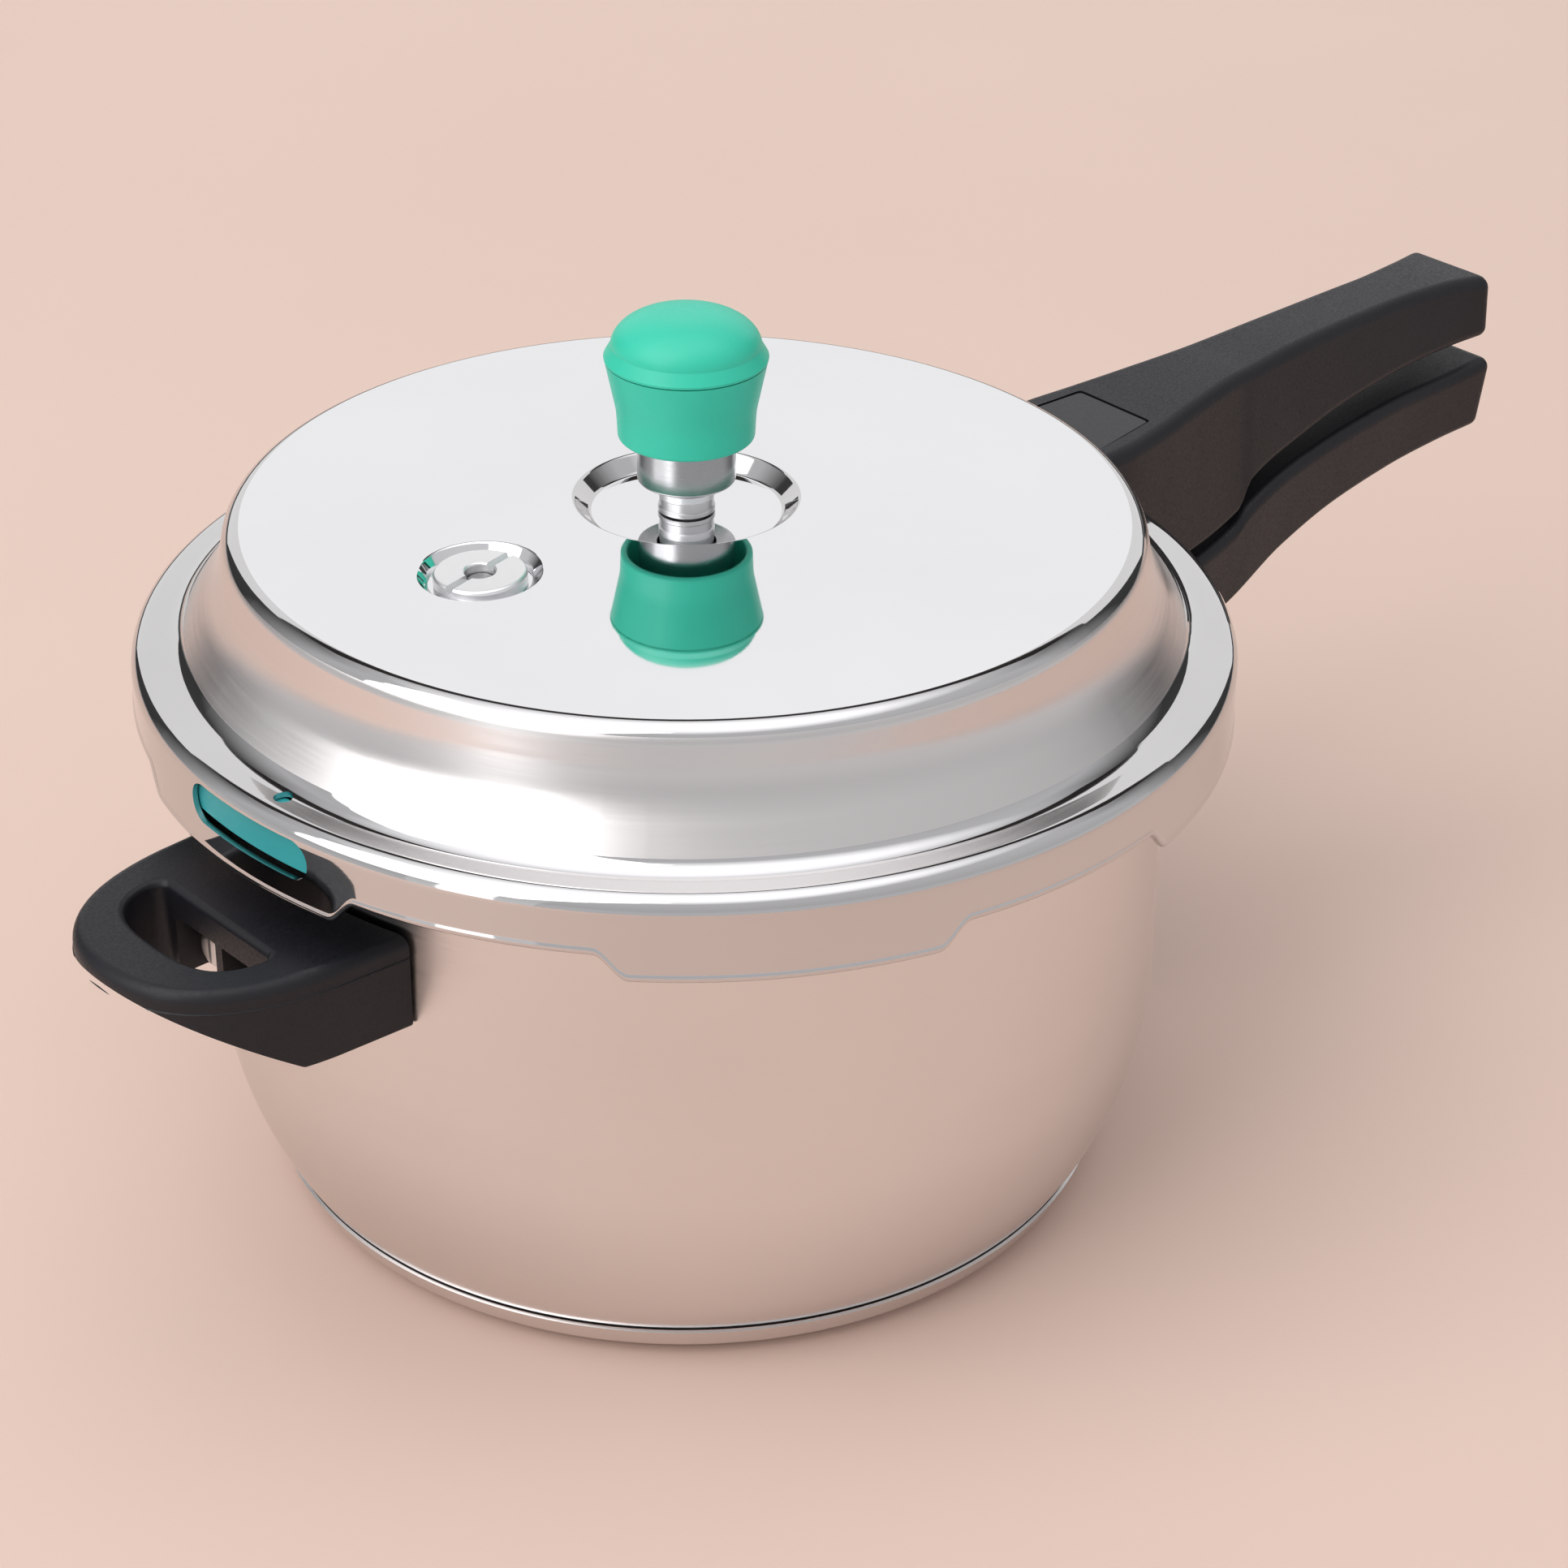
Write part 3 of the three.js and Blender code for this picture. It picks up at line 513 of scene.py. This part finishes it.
# Each row: place along X, half width at the top, half width at the bottom, top, bottom.
POT_HANDLE_ROWS = [
    (104, 19.2, 15.6, 103, 55), (108, 19, 15.5, 103, 57), (125, 18.8, 15, 103, 62),
    (140, 17.4, 14, 103.4, 69), (152, 16, 12.9, 104.6, 75.8), (167.4, 14.4, 11.5, 108.4, 84),
    (171.8, 14.2, 11.3, 112.3, 85.8), (190, 13, 10.1, 118.6, 94.3),
    (210, 12.5, 9.7, 122.6, 100.8), (230, 12.6, 9.8, 125.4, 104.8),
    (248, 13.4, 10.9, 127, 107.6), (263.5, 14.8, 12.5, 129.4, 109.5),
]
LID_HANDLE_ROWS = [
    (101, 20, 20, 144.6, 106.5), (120, 19.6, 19.6, 145.3, 106.5),
    (135, 17.5, 18.2, 146.3, 106.8), (150, 14.6, 16.4, 147.8, 108.2),
    (167.4, 11.9, 14.4, 149.3, 112.2), (171.6, 11.6, 14.2, 149.5, 119.4),
    (190, 10.3, 13, 150.9, 125.5), (210, 9.6, 12.4, 151.9, 130.4),
    (230, 9.4, 12.4, 152.5, 133.4), (248, 10.8, 13.2, 152.7, 135.2),
    (261, 13.6, 14.4, 152.2, 136),
]


def slopes_of(xs, ys):
    """Slopes for a curve through the points that never overshoots them."""
    run = [(b - a) / (d - c) for a, b, c, d in zip(ys, ys[1:], xs, xs[1:])]
    inner = [0 if a * b <= 0 else 2 * a * b / (a + b) for a, b in zip(run, run[1:])]
    return [run[0]] + inner + [run[-1]]


def rows_between(rows, step=1.6):
    xs = [row[0] for row in rows]
    columns = [[row[k] for row in rows] for k in range(1, len(rows[0]))]
    slopes = [slopes_of(xs, column) for column in columns]
    found = []
    for i in range(len(xs) - 1):
        width = xs[i + 1] - xs[i]
        count = max(2, round(width / step))
        for k in range(count + (i == len(xs) - 2)):
            t = k / count
            row = [xs[i] + t * width]
            for ys, ms in zip(columns, slopes):
                row.append(
                    (2 * t ** 3 - 3 * t * t + 1) * ys[i] + (t ** 3 - 2 * t * t + t) * width * ms[i]
                    + (3 * t * t - 2 * t ** 3) * ys[i + 1] + (t ** 3 - t * t) * width * ms[i + 1])
            found.append(row)
    return found


def bar(name, rows, top_round, bottom_round, end_round):
    """A moulded handle along X, with rounded long edges and a rounded far end."""
    found = rows_between(rows)
    far = found[-1]
    body = [row + [0] for row in found if row[0] < far[0] - end_round - 0.2]
    slope = [(far[k] - found[-3][k]) / (far[0] - found[-3][0]) for k in range(1, 5)]
    for k in range(9):
        angle = math.pi / 2 * k / 8
        x = far[0] - end_round + end_round * math.sin(angle)
        row = [far[j + 1] + slope[j] * (x - far[0]) for j in range(4)]
        body.append([x, *row, end_round * (1 - math.cos(angle))])
    layers = []
    for x, half_top, half_bottom, top, bottom, inset in body:
        half_top, half_bottom = half_top - inset, half_bottom - inset
        top, bottom = top - inset, bottom + inset
        high, low = max(top_round - inset, 0.5), max(bottom_round - inset, 0.5)
        middle = (top + bottom) / 2
        half = (half_top + half_bottom) / 2
        outline = rounded([
            (-half, middle), (-half_bottom, bottom, low), (half_bottom, bottom, low),
            (half, middle), (half_top, top, high), (-half_top, top, high)], 7)
        layers.append([(x, p.real, p.imag) for p in outline])
    return stacked(name, layers)


def pot_handle():
    made = bar("pot_handle", POT_HANDLE_ROWS, 3.0, 2.6, 2.6)
    spot = at(POT_SCREW_X, 0, 0)
    made = carved(
        made, rod(BRACKET_FACE, 40, 120, 240), block((109.5, 142.3), (-7.3, 7.3), (83.7, 87.3)),
        placed(rod(2.8, 75, 91), spot), placed(rod(6, 50, 76), spot))
    show(made, "pot_long_handle", BAKELITE, "pot", "pot_handle")
    washer(2.8, 5, 74.7, 75.7, spot, "pot_washer", "pot", "pot_handle_washer", SATIN)
    screw(2.5, 12, 5, 3, at(POT_SCREW_X, 0, 74.4) @ turn(math.pi, "X"), "pot_screw", "pot",
          "pot_handle_screw")


# ---------------------------------------------------------------- helper handle

HELPER_ANGLE = radians(182)
HELPER = {"bottom": 85.5, "top": 107.2, "reach": 157, "half": 33.4, "knee": 129, "tip": 104}
HELPER_EDGE = 2.9
HELPER_SEAM = 102.3
HELPER_SCREW_SIDE = 9
HELPER_SCREW_Z = 93


def helper_outline(inset):
    side = HELPER["half"] - inset
    reach = HELPER["reach"] - inset
    straight = [complex(x, -side + 1.8 * (x - 92) / 30) for x in steps_between(92, 122, 5)]
    bend = curve(straight[-1], complex(143, -side + 3.8), complex(reach, -side * 0.58),
                 complex(reach, 0), 22)
    half = straight + bend
    return half + [p.conjugate() for p in half[-2::-1]]


def hole_outline(grow):
    near, far, half = 128.5 - grow, 143.6 + grow, 19.5 + grow
    corner = curve(complex(near, -half + 2.5), complex(near, -half + 1), complex(near + 1, -half),
                   complex(near + 3.5, -half), 6)
    bend = curve(complex(near + 3.5, -half), complex(far - 1, -half + 1), complex(far, -half / 2),
                 complex(far, 0), 16)
    half_way = [complex(near, -half + 2.5)] + corner + bend
    return half_way + [p.conjugate() for p in half_way[-2::-1]]


def flared(outline_at, low, high, edge, above):
    """A cutter that widens into a rounded edge at its top."""
    layers = [(0, low), (0, high - edge)]
    for k in range(1, 8):
        angle = math.pi / 2 * k / 7
        layers.append((edge * (1 - math.cos(angle)), high - edge + edge * math.sin(angle)))
    layers.append((edge, above))
    return stacked("cutter", [[(p.real, p.imag, z) for p in outline_at(e)] for e, z in layers])


def helper_handle():
    bottom, top = HELPER["bottom"], HELPER["top"]
    edge, seam, knee, reach = HELPER_EDGE, HELPER_SEAM, HELPER["knee"], HELPER["reach"]
    layers = [(0.8, bottom), (0.25, bottom + 0.25), (0, bottom + 0.8), (0, seam - 0.25),
              (-0.22, seam), (0, seam + 0.25)]
    for k in range(9):
        angle = math.pi / 2 * k / 8
        layers.append((edge * (1 - math.cos(angle)), top - edge + edge * math.sin(angle)))
    made = stacked("helper", [
        [(p.real, p.imag, z) for p in helper_outline(inset)] for inset, z in layers])
    wedge = [complex(60, bottom - 10), complex(60, bottom - 0.01), complex(knee, bottom - 0.01),
             complex(reach, HELPER["tip"]), complex(reach, bottom - 10)]
    under = stacked("cutter", [[(p.real, y, p.imag) for p in wedge] for y in (-50, 50)])
    half = radians(10)
    room = [BRACKET_FACE * cmath.exp(1j * a) for a in steps_between(-half, half, 20)]
    room += [90 * cmath.exp(1j * half), 90 * cmath.exp(-1j * half)]
    pockets = [flared(lambda e, s=s: pocket_outline(s), bottom - 5, 100, 0.6, 100.01)
               for s in (-1, 1)]
    made = carved(made, under, rod(POT_RADIUS + GAP, 60, 130, 240),
                  prism(room, bottom - 1, 103),
                  flared(hole_outline, bottom - 5, top, 1.7, top + 5), *pockets)
    across = turn(math.pi / 2, "Y")
    for side in (-HELPER_SCREW_SIDE, HELPER_SCREW_SIDE):
        spot = at(0, side, HELPER_SCREW_Z) @ across
        made = carved(made, placed(rod(2.3, 105, 125), spot), placed(rod(4.4, 105, 117), spot))
    show(placed(made, turn(HELPER_ANGLE, "Z")), "helper_grip", BAKELITE, "pot", "helper_handle")
    for side, hand in ((-HELPER_SCREW_SIDE, "left"), (HELPER_SCREW_SIDE, "right")):
        spot = turn(HELPER_ANGLE, "Z") @ at(121.3, side, HELPER_SCREW_Z) @ across
        washer(2.3, 4.4, 0, 1, spot, f"helper_ring_{hand}", "pot", f"helper_washer_{hand}", SATIN)
        spot = turn(HELPER_ANGLE, "Z") @ at(122.6, side, HELPER_SCREW_Z) @ across
        screw(2, 11, 4, 2.4, spot, f"helper_fixing_{hand}", "pot", f"helper_screw_{hand}")


def pocket_outline(side):
    """One of the two hollows behind the finger hole, where the screws sit."""
    inner, outer = 1.2 * side, 15.5 * side
    low, high = min(inner, outer), max(inner, outer)
    return rounded([(121, low, 0.8), (130, low), (130, high), (121, high, 0.8)], 4)


# ---------------------------------------------------------------- the lid

LID_RADIUS = 122.5
FLANGE_TOP = 133.7
CROWN_TOP = 162.4
CROWN_START = 24.8
CROWN_SLOPE = 0.02101
CROWN_BEND = 0.0002101
CROWN_END = (100.6, 159.6)
DISH_FLOOR = 159
LUG_LOW = 114.8
SKIRT_LOW = 120.5
HOOK_RADIUS = 112.5
VALVE_X = -56
VALVE_SEAT = -3.3
PATCH_RADIUS = 15.5
WINDOW_ANGLE = radians(183.4)
STEAM_HOLE_ANGLE = radians(185.9)

# The lid's upward crown faces get a lighter copy of its steel, painted light, and its dome wall,
# between two heights, is brushed; the rest gets a darker copy, painted shade.
FACES_UP = 0.97
LIT_MIRROR_LOW = 158
DOME_WALL = (138, 157.5)

# The rolled edge at the bottom of the skirt, and how far it stands out.
EDGE_ROUND = 1.15
EDGE_ANGLES = steps_between(-math.pi / 2, radians(38), 8)
BEAD = 0.32


def crown_height(radius):
    """Height of the gently domed crown at that distance from the axis."""
    out = radius - CROWN_START
    return CROWN_TOP - CROWN_SLOPE * out - CROWN_BEND * out * out


def lid_line(steps=10):
    crown = [(r, crown_height(r)) for r in range(30, 100, 5)]
    return rounded([
        (5, DISH_FLOOR), (21.2, DISH_FLOOR, 1.6), (CROWN_START, CROWN_TOP, 1.4), *crown,
        (*CROWN_END, 5), (103.2, 146.5, 25), (112.5, FLANGE_TOP, 6),
        (LID_RADIUS, FLANGE_TOP, 4), (LID_RADIUS, 126)], steps)


def lid_shell():
    line = lid_line()
    sheet = sheet_of(line[::-1], SHEET)
    inside = LID_RADIUS - SHEET

    def section(angle):
        low = SKIRT_LOW + (LUG_LOW - SKIRT_LOW) * share_of_lug(angle, LUG_HALF, LUG_RAMP)
        hook = share_of_lug(angle, HOOK_HALF, HOOK_RAMP)
        tip = inside - 0.02 + (HOOK_RADIUS - inside + 0.02) * hook
        corner = complex(LID_RADIUS - EDGE_ROUND + BEAD, low + EDGE_ROUND)
        edge = [corner + EDGE_ROUND * cmath.exp(1j * a) for a in EDGE_ANGLES]
        edge.append(complex(LID_RADIUS, low + 2 * EDGE_ROUND))
        return sheet + [
            complex(inside, low + 2.2), complex(inside - 0.01, low + 1.4),
            complex(tip + 0.01, low + 1.4), complex(tip, low + 1.3), complex(tip, low + 0.1),
            complex(tip + 0.01, low), *edge]

    made = revolved("lid_shell", section, angles_round_lugs())
    window = rounded([
        (-19.2, 121.4, 4.35), (19.2, 121.4, 4.35), (19.2, 130.5, 4.35), (-19.2, 130.5, 4.35)], 12)
    window = [[(LID_RADIUS + out, p.real, p.imag) for p in window] for out in (-6, 5)]
    made = carved(
        made, placed(stacked("cutter", window), turn(WINDOW_ANGLE, "Z")),
        placed(rod(2, 125, 140, 48), turn(STEAM_HOLE_ANGLE, "Z") @ at(115.6, 0, 0)),
        placed(rod(PATCH_RADIUS, 150, 170, 120), at(VALVE_X, 0, 0)))
    show(made, "lid_pan", SHADED_POLISHED, "lid", "lid_shell")
    made.data.materials.append(LIT_MIRROR)
    made.data.materials.append(BRUSHED)
    # Upward crown faces take the lighter copy, painted light, and the dome wall takes the brushed
    # steel; the rest keeps the darker copy, painted shade.
    for face in made.data.polygons:
        if face.normal.z > FACES_UP and face.center.z > LIT_MIRROR_LOW * MM:
            face.material_index = 1
        elif DOME_WALL[0] * MM < face.center.z < DOME_WALL[1] * MM:
            face.material_index = 2
    valve_dimple()


def valve_dimple():
    """The round hollow in the crown that the safety valve stands in."""
    line = rounded([
        (6.4, VALVE_SEAT), (11, VALVE_SEAT, 1.2), (13.4, 0, 0.9), (14.6, 0), (PATCH_RADIUS, 0)], 8)
    profile = sheet_of(line[::-1], 1.0)
    made = turned("dimple", profile, 120)
    for vertex in made.data.vertices:
        x, y = vertex.co.x / MM + VALVE_X, vertex.co.y / MM
        vertex.co.x = x * MM
        vertex.co.z += crown_height(math.hypot(x, y)) * MM
    show(made, "valve_dimple", LIT_MIRROR, "lid")


# ---------------------------------------------------------------- the lid's handle

PLATE = {"near": 113, "far": 134.5, "half_near": 14.2, "half_far": 11.6}


def plate_height(x):
    return 145.3 + (x - 120) / 15


def plate_prism(grow, depth, high, edge=0.0):
    """The cover plate's outline, following the slope of the handle's top."""
    near, far = PLATE["near"] - grow, PLATE["far"] + grow
    a, b = PLATE["half_near"] + grow, PLATE["half_far"] + grow
    layers = []
    sides = [(0, -depth), (0, high - edge)]
    if edge:
        sides += [(edge * 0.3, high - edge * 0.3), (edge, high)]
    for inset, z in sides:
        outline = rounded([
            (near + inset, -a + inset, 1.2), (far - inset, -b + inset, 1.2),
            (far - inset, b - inset, 1.2), (near + inset, a - inset, 1.2)], 5)
        layers.append([(p.real, p.imag, plate_height(p.real) + z) for p in outline])
    return stacked("cutter", layers)


def bracket_room():
    line = rounded([(104.6, 147 - GAP), (107.2, 141.5 - GAP, 8), (112.4, 135.6 - GAP, 4),
                    (156 + GAP, 135.6 - GAP)], 4)
    outline = sheet_of(line, 2.6 + 2 * GAP)
    return stacked("cutter", [[(p.real, y, p.imag) for p in outline] for y in (-8.3, 8.3)])


def lid_handle():
    made = bar("lid_handle", LID_HANDLE_ROWS, 3.4, 2.4, 2.8)
    grown = [complex(p.real + 0.8, p.imag + 0.4) for p in lid_line(6) if p.real > 60]
    clear = [0 + 90j, complex(LID_RADIUS + 0.8, 90), *grown[::-1], 0 + 162j]
    made = carved(made, turned("cutter", clear, 240))
    made = carved(
        made, bracket_room(), plate_prism(GAP, 2.3, 8),
        placed(rod(2.3, 129, 146), at(LID_SCREW_X, 0, 0)),
        placed(rod(4.8, 138.2, 150), at(LID_SCREW_X, 0, 0)),
        placed(rod(2.3, 120, 142), at(LOWER_SCREW_X, 0, 0)),
        placed(rod(5, 100, 124), at(LOWER_SCREW_X, 0, 0)))
    show(made, "lid_long_handle", BAKELITE, "lid", "lid_handle")
    plate = plate_prism(0, 2, -0.2, 0.4)
    show(plate, "handle_cover_plate", SMOOTH_BAKELITE, "lid", "lid_handle_cover")
    screw(2, 9, 4.2, 2, at(LID_SCREW_X, 0, 138.5), "lid_fixing", "lid", "lid_handle_screw")
    screw(2, 14, 4.2, 2.4, at(LOWER_SCREW_X, 0, 123.7) @ turn(math.pi, "X"), "lid_lower_fixing",
          "lid", "lid_handle_lower_screw")


# ---------------------------------------------------------------- gasket, vent pipe and valve

def gasket():
    under = FLANGE_TOP - SHEET
    outer = LID_RADIUS - SHEET - 0.4
    profile = rounded([
        (117, 124, 0.6), (119.6, 124, 0.3), (119.8, 122.5, 0.3), (outer, 122.5, 0.5),
        (outer, under - GAP, 2.5), (113.5, under - GAP, 0.6),
        (113, 130.2, 0.6), (117, 129.4, 0.7), (117, 126.4, 0.7), (108.4, 123.6, 0.4),
        (108.8, RIM_TOP + GAP, 0.3), (112, RIM_TOP + GAP, 0.8)], 7)
    show(turned("gasket", profile, 240), "gasket_ring", TEAL, "gasket", "sealing_gasket")


def vent_pipe():
    foot = DISH_FLOOR + GAP
    profile = rounded([
        (1.6, 146, 0.3), (4.4, 146), (4.7, 146.4), (4.7, foot), (6.3, foot, 0.2),
        (6.3, foot + 1, 0.2), (6, foot + 1.3), (6, 162.4), (5.96, 162.5), (6.2, 162.8, 0.1),
        (6.2, 164.2, 0.1), (5.96, 164.5), (6, 164.6), (6, 177, 0.4), (3.4, 181, 0.3),
        (1.6, 181, 0.3)], 4)
    made = turned("vent_pipe", profile, 96)
    show(made, "vent_tube", SATIN, "lid", "vent_pipe")
    # The bead's band gets the lighter aluminium finish, a painted highlight along the bead.
    made.data.materials.append(ALUMINIUM)
    bead_low, bead_high = 162.6, 164.4
    for face in made.data.polygons:
        if bead_low * MM < face.center.z < bead_high * MM:
            face.material_index = 1
    spot = at(0, 0, 0)
    under = DISH_FLOOR - SHEET
    washer(5, 9.5, under - 1.5, under - GAP, spot, "vent_seal", "lid", "vent_pipe_washer", TEAL)
    nut(5, 15, under - 6.8, under - 1.8, spot, "vent_nut", "lid", "vent_pipe_nut")


def safety_valve():
    slope = math.atan2(CROWN_TOP - CROWN_END[1], CROWN_END[0] - CROWN_START)
    spot = turn(math.pi, "Z") @ at(-VALVE_X, 0, 161.4) @ turn(slope, "Y")
    seat = VALVE_SEAT
    profile = rounded([
        (3.3, seat - 9, 0.2), (6, seat - 9, 0.4), (6, seat + GAP), (10, seat + GAP, 0.3),
        (10, 0.2, 0.9), (3.3, 0.2, 0.6)], 5)
    made = turned("valve", profile, 128)
    slot = placed(block((-11, 11), (-1, 1), (-1, 1.2)), turn(radians(12), "Z"))
    made = carved(made, slot)
    show(placed(made, spot), "safety_valve", ALUMINIUM, "lid", "safety_valve_body")
    plug = rounded([(0, seat - 8.5), (3, seat - 8.5, 0.3), (3, -1.8, 0.5), (0, -1.8)], 4)
    show(placed(turned("plug", plug, 64), spot), "valve_plug", ALLOY, "lid", "fusible_plug")
    washer(6.4, 10, seat - 3, seat - 1.5, spot, "valve_seal", "lid", "safety_valve_washer", TEAL)
    nut(6.4, 18, seat - 7.8, seat - 3.3, spot, "valve_nut", "lid", "safety_valve_nut")


# ---------------------------------------------------------------- the weight

def weight():
    bore, groove, low, high = 6.5, 7.7, 172.2, 173.8
    foot, collar, neck, round_neck = 166.5, 10.8, 9.4, 9.7
    body = rounded([
        (0, 181.6), (3.6, 181.6), (bore, 177.4), (bore, high), (groove, high), (groove, low),
        (bore, low), (bore, foot, 0.3), (collar, foot, 0.6), (collar, 185), (neck, 185),
        (neck, 197), (0, 197)], 6)
    show(turned("weight", body, 128), "weight_core", TURNED, "weight", "weight_body")
    grip = rounded([
        (13.4, 176.8, 0.6), (14.9, 176.8, 0.7), (15.2, 183, 20), (17.6, 194.5),
        (round_neck, 194.5), (round_neck, 187), (13.4, 187, 1.0)], 8)
    show(turned("grip", grip, 128), "weight_skirt", GREEN, "weight", "weight_grip")
    side, shoulder, rise = 16.3, 197.9, 7.1
    shares = [math.sin(a) for a in steps_between(math.pi / 2, 0, 26)]
    crown = [(side * t, shoulder + rise * (1 - t ** 2.8) ** 0.56) for t in shares[1:]]
    cap = rounded([
        (0, 197.3), (round_neck, 197.3), (round_neck, 194.8), (17.7, 194.8),
        (17.8, 195.3, 0.25), (side, shoulder, 0.1), *crown], 9)
    show(turned("cap", cap, 128), "weight_top", GREEN, "weight", "weight_cap")
    centre, wire_radius = 6.9 + 173j, 0.55
    wire = [centre + wire_radius * cmath.exp(1j * math.tau * k / 16) for k in range(16)]
    show(turned("clip", wire, 96), "weight_spring", SATIN, "clip", "weight_clip")


# ---------------------------------------------------------------- floor and light

def studio_place(right, ahead, up):
    """A point measured from the cooker as the camera sees it, in metres."""
    heading = turn(radians(VIEW_HEADING), "Z")
    return heading @ Vector((right, ahead, up))


def floor():
    made = bpy.data.materials.new("pale floor")
    made.use_nodes = True
    tree = made.node_tree
    shader = tree.nodes["Principled BSDF"]
    clouds = mottled(tree, 3.0)
    tree.links.new(tinted(tree, clouds.outputs["Fac"], (0.71, 0.525, 0.445), (0.76, 0.570, 0.485)),
                   shader.inputs["Base Color"])
    grain = mottled(tree, 900.0)
    tree.links.new(mapped(tree, grain.outputs["Fac"], 0.55, 0.7), shader.inputs["Roughness"])
    side, near, far = 2.2, -0.85, 3.2
    corners = [(-side, near), (side, near), (side, far), (-side, far)]
    corners = [studio_place(x, y, 0) / MM for x, y in corners]
    plane = mesh_of("floor", [tuple(c) for c in corners], [[0, 1, 2, 3]])
    plane.data.materials.append(made)


def softbox(name, place, size, aim, brightness):
    data = bpy.data.lights.new(name, "AREA")
    data.shape = "RECTANGLE"
    data.size, data.size_y = size
    data.energy = brightness * math.pi * size[0] * size[1]
    light = bpy.data.objects.new(name, data)
    bpy.context.scene.collection.objects.link(light)
    light.location = studio_place(*place)
    aim_at = studio_place(*aim)
    light.rotation_mode = "QUATERNION"
    light.rotation_quaternion = (aim_at - light.location).to_track_quat("-Z", "Y")
    light.visible_camera = False


def flag(name, place, size, aim):
    """A black card that keeps light off, out of the camera's sight."""
    made = bpy.data.materials.new(name)
    made.use_nodes = True
    made.node_tree.nodes["Principled BSDF"].inputs["Base Color"].default_value = (0.01,) * 3 + (1,)
    x, y = size[0] / 2 / MM, size[1] / 2 / MM
    card = mesh_of(name, [(-x, -y, 0), (x, -y, 0), (x, y, 0), (-x, y, 0)], [[0, 1, 2, 3]])
    card.data.materials.append(made)
    card.location = studio_place(*place)
    card.rotation_mode = "QUATERNION"
    towards = studio_place(*aim) - card.location
    card.rotation_quaternion = towards.to_track_quat("Z", "Y")
    card.visible_camera = False
    card.visible_shadow = False


def greys(tree, value, stops):
    ramp = node(tree, "ShaderNodeValToRGB", {"Fac": value})
    elements = ramp.color_ramp.elements
    while len(elements) < len(stops):
        elements.new(0.5)
    for element, (spot, grey) in zip(elements, stops):
        element.position = spot
        element.color = (grey, grey, grey * 1.02, 1)
    return ramp.outputs["Color"]


def sky():
    """Light from above, grey in front, and a dark band above the horizon behind the cooker."""
    world = bpy.data.worlds.new("studio")
    bpy.context.scene.world = world
    world.use_nodes = True
    tree = world.node_tree
    way = node(tree, "ShaderNodeTexCoord").outputs["Generated"]
    height = node(tree, "ShaderNodeSeparateXYZ", {0: way}).outputs["Z"]
    height = mapped(tree, height, 0, 1, -1, 1)
    # Each stop: a share of the way from straight down to straight up, and the grey there.
    round_back = greys(tree, height, [
        (0.0, 0.45), (0.42, 0.48), (0.49, 0.30), (0.51, 0.05), (0.73, 0.06), (0.84, 0.10),
        (0.93, 1.00), (1.0, 1.60)])
    in_front = greys(tree, height, [
        (0.0, 0.45), (0.40, 0.62), (0.50, 0.64), (0.62, 0.56), (0.90, 0.66), (0.97, 1.60)])
    toward = studio_place(0, -1, 0)
    facing = node(tree, "ShaderNodeVectorMath", {0: way, 1: toward}, operation="DOT_PRODUCT")
    back_ends, front_starts = -0.58, -0.15
    facing = mapped(tree, facing.outputs["Value"], 0, 1, back_ends, front_starts)
    mixed = node(tree, "ShaderNodeMix", {"Factor": facing, "A": round_back, "B": in_front},
                 data_type="RGBA").outputs["Result"]
    tree.links.new(mixed, tree.nodes["Background"].inputs["Color"])


def studio():
    # Each light: its place, its size, the point that it faces, and how bright it is.
    softbox("backdrop", (0, 2.4, 1.25), (4.4, 1.95), (0, 0, 0.16), 0.90)
    softbox("key", (-1.4, -1.0, 1.9), (2.3, 2.3), (0, 0, 0.1), 1.75)
    softbox("front strip", (-1.0, -1.25, 0.40), (0.32, 1.9), (0, 0, 0.1), 1.1)
    softbox("front panel", (-1.05, -1.35, 0.55), (0.8, 1.9), (0, 0, 0.1), 0.15)
    flag("top flag", (0, 1.7, 2.35), (3.4, 0.5), (0, 0, 0.16))
    sky()
    bpy.context.scene.view_settings.view_transform = "Standard"


pot_shell()
base()
pot_handle()
helper_handle()
lid_shell()
lid_handle()
gasket()
vent_pipe()
safety_valve()
weight()
keep_cad(["pot_handle_bracket", "helper_bracket", "lid_handle_bracket"], SATIN)
floor()
studio()
